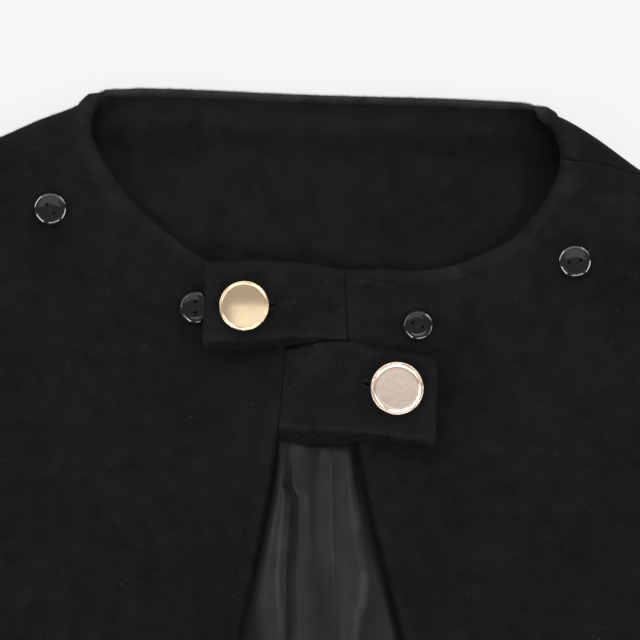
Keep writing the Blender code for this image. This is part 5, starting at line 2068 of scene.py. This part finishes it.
@dataclass(frozen=True)
class Studio:
    """The pale floor, the soft light and the camera."""

    target: tuple[float, float, float] = (0.0, 0.3136, 0.008)
    tilt: float = 9.0  # of the camera from straight down, in degrees
    distance: float = 0.75
    view: float = 0.3092  # width of the view at the target
    ambient: float = 0.37
    floor_light: float = 0.81  # the floor's own glow, which keeps shadows faint
    panels: tuple[Softbox, ...] = (
        Softbox("neck_panel", 90.0, 40.0, (0.9, 0.35), 2.2, 0.7),
        Softbox("north_west_window", 146.0, 29.0, (1.45, 0.2), 13.0, 2.2),
        Softbox("south_west_window", 214.0, 38.0, (1.35, 0.2), 16.0, 2.2),
        Softbox("south_window", 284.0, 43.0, (1.6, 0.2), 12.0, 2.2),
        Softbox("east_window", -14.0, 36.0, (1.6, 0.2), 15.0, 2.2),
        Softbox("north_east_window", 48.0, 27.0, (1.2, 0.2), 10.0, 2.2),
        Softbox("overhead_panel", -90.0, 81.5, (1.4, 0.92), 0.72, 2.05),
    )

    def floor(self) -> None:
        """Lays the floor."""
        bpy.ops.object.select_all(action="DESELECT")
        bpy.ops.mesh.primitive_plane_add(size=8.0, location=(0, 0, -0.0003))
        floor = bpy.context.object
        floor.name = "floor"
        board = NodeBoard("pale_floor")
        speckle = board.noise(board.object_place(), 0.9, Detail=1.0)
        board.use("Base Color", board.blend(speckle, (0.078, 0.078, 0.079), (0.082, 0.082, 0.083)))
        board.set(Roughness=0.9, Specular_IOR_Level=0.1)
        board.set(Emission_Color=(0.998, 0.99, 1.015, 1.0), Emission_Strength=self.floor_light)
        floor.data.materials.append(board.material)

    def camera(self) -> None:
        """Puts the camera at the photograph's viewing angle."""
        data = bpy.data.cameras.new("camera")
        data.sensor_width = 36.0
        data.lens = 36.0 * self.distance / self.view
        tilt = math.radians(self.tilt)
        camera = bpy.data.objects.new("camera", data)
        away = Vector((0.0, -math.sin(tilt), math.cos(tilt))) * self.distance
        camera.location = Vector(self.target) + away
        camera.rotation_euler = (tilt, 0.0, 0.0)
        bpy.context.scene.collection.objects.link(camera)
        bpy.context.scene.camera = camera

    def build(self) -> None:
        """Sets the whole studio up."""
        self.floor()
        self.camera()
        world = bpy.data.worlds.new("studio")
        world.use_nodes = True
        ground = world.node_tree.nodes["Background"]
        ground.inputs["Color"].default_value = (1.0, 1.0, 1.0, 1.0)
        ground.inputs["Strength"].default_value = self.ambient
        bpy.context.scene.world = world
        for panel in self.panels:
            panel.build(Vector((0.0, 0.25, 0.0)))
        bpy.context.scene.view_settings.view_transform = "Standard"


def main() -> None:
    """Builds every piece of the cloak and its studio."""
    logging.basicConfig(level=logging.INFO, format="%(name)s: %(message)s", force=True)
    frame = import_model()
    LOG.info("frame with %d nodes", len(frame["nodes"]))
    form = CloakForm()
    wool = WoolFinish("brushed_wool").material()
    satin = SatinFinish("grey_satin").material()
    black, blacker = (0.0013, 0.00156, 0.00312), (0.001, 0.0012, 0.0024)
    polished, clouds = (0.0012, 2.0, 0.6, 0.000004), (0.0065, 3.0, 0.55, 0.00006)
    plastic = PolishedFinish("black_plastic", blacker, black, (0.04, 0.08), polished, gloss=0.62).material()

    back = BackPanel(form).shell().build(wool, "wool", "back_panel")
    facing_form = BackNeckFacing(form)
    facing = facing_form.shell().build(wool, "wool", "back_neck_facing")
    lining = BackLining(form, facing_form).shell().build(satin, "satin", "back_lining")
    below_upper, below_lower = (
        np.array([(row.foot_x, row.foot_depth) for row in rows]) for rows in (UPPER_TAB_ROWS, LOWER_TAB_ROWS)
    )
    right_front = Front(form, Side.RIGHT, RIGHT_CREASES, 11, (0.1288, 0.1668), (below_upper, 0.012, 0.6))
    left_front = Front(form, Side.LEFT, LEFT_CREASES, 41, (0.0905, 0.1257), (below_lower, 0.006, 0.4))
    right = right_front.shell().build(wool, "wool", "right_front")
    left = left_front.shell().build(wool, "wool", "left_front")
    upper_place, lower_place = (-0.0361, 0.1098), (0.0364, 0.1493)
    tab_forms = (
        NeckTab(
            form, "upper_tab_cloth", UPPER_TAB_ROWS, upper_place, Side.LEFT, UPPER_TAB_CREASES, 301, 0.0152,
        ),
        NeckTab(
            form, "lower_tab_cloth", LOWER_TAB_ROWS, lower_place, Side.RIGHT, LOWER_TAB_CREASES, 331, 0.0168,
        ),
    )
    tabs = [tab.shell().build(wool, "wool", tab.name.removesuffix("_cloth")) for tab in tab_forms]

    buttons = (
        (GoldButton("upper_gold_plate", (3.8, -2.0), 0.012, 0.0003), "pale_gold", *PALE_GOLD),
        (GoldButton("lower_gold_plate", (2.0, 1.0), 0.0127, 0.0013, -0.0001), "silvery_gold", *SILVERY_GOLD),
    )
    for tab, (button, name, dull, clear, matt) in zip(tab_forms, buttons):
        finish = PolishedFinish(name, dull, clear, matt, (0.0011, 3.0, 0.6, 0.000002), clouds, 1.0)
        button.build(tab, finish.material())
    collar = (
        CollarButton("right_outer_button", (-0.1306, 0.0613), -75.0, 3.0, 120.0),
        CollarButton("right_inner_button", (-0.06, 0.1091), 70.0, 4.0, 235.0),
        CollarButton("left_inner_button", (0.0471, 0.1178), -5.0, 7.0, 95.0, radius=0.0073),
        CollarButton("left_outer_button", (0.1232, 0.087), 58.0, 4.0, 200.0),
    )
    surfaces = (Surface(right), Surface(left))
    sewing = []
    for button in collar:
        spot = button.spot(form, surfaces[button.place[0] > 0])
        button.build(spot, plastic)
        sewing.append((button.threads(spot), np.tile(spot.to_3x3().col[2], (2, 1))))
    thread = StrandFinish("black_thread", (0.009, 0.009, 0.0095), 1.7, 0.0003, 0.00004, 0.62, 0.35).material()
    paths, up = (np.concatenate(rows) for rows in zip(*sewing))
    strands("collar_button_thread", paths, up, 0.00012, thread)
    for tab, piece in zip(tab_forms, tabs):
        name = tab.name.replace("cloth", "buttonhole_stitches")
        strands(name, *tab.stitches(Surface(piece)), 0.00016, thread)
    loose = StrandFinish("loose_wool", (0.011, 0.0108, 0.0105)).material()
    lit = StrandFinish("sunlit_wool", (0.026, 0.0255, 0.024)).material()
    pale = StrandFinish("pale_lint", (0.055, 0.055, 0.054)).material()
    napped = zip((back, facing, right, left, *tabs), (14000, 3000, 14000, 14000, 2600, 2600))
    for number, (piece, count) in enumerate(napped):
        Nap(count, 500 + number).build(piece, lit if piece is back else loose)
    for number, (piece, count) in enumerate(zip((facing, right, left, *tabs), (90, 440, 440, 45, 45))):
        Lint(count, 600 + number).build(piece, pale)

    Studio().build()


if __name__ == "__main__":
    main()
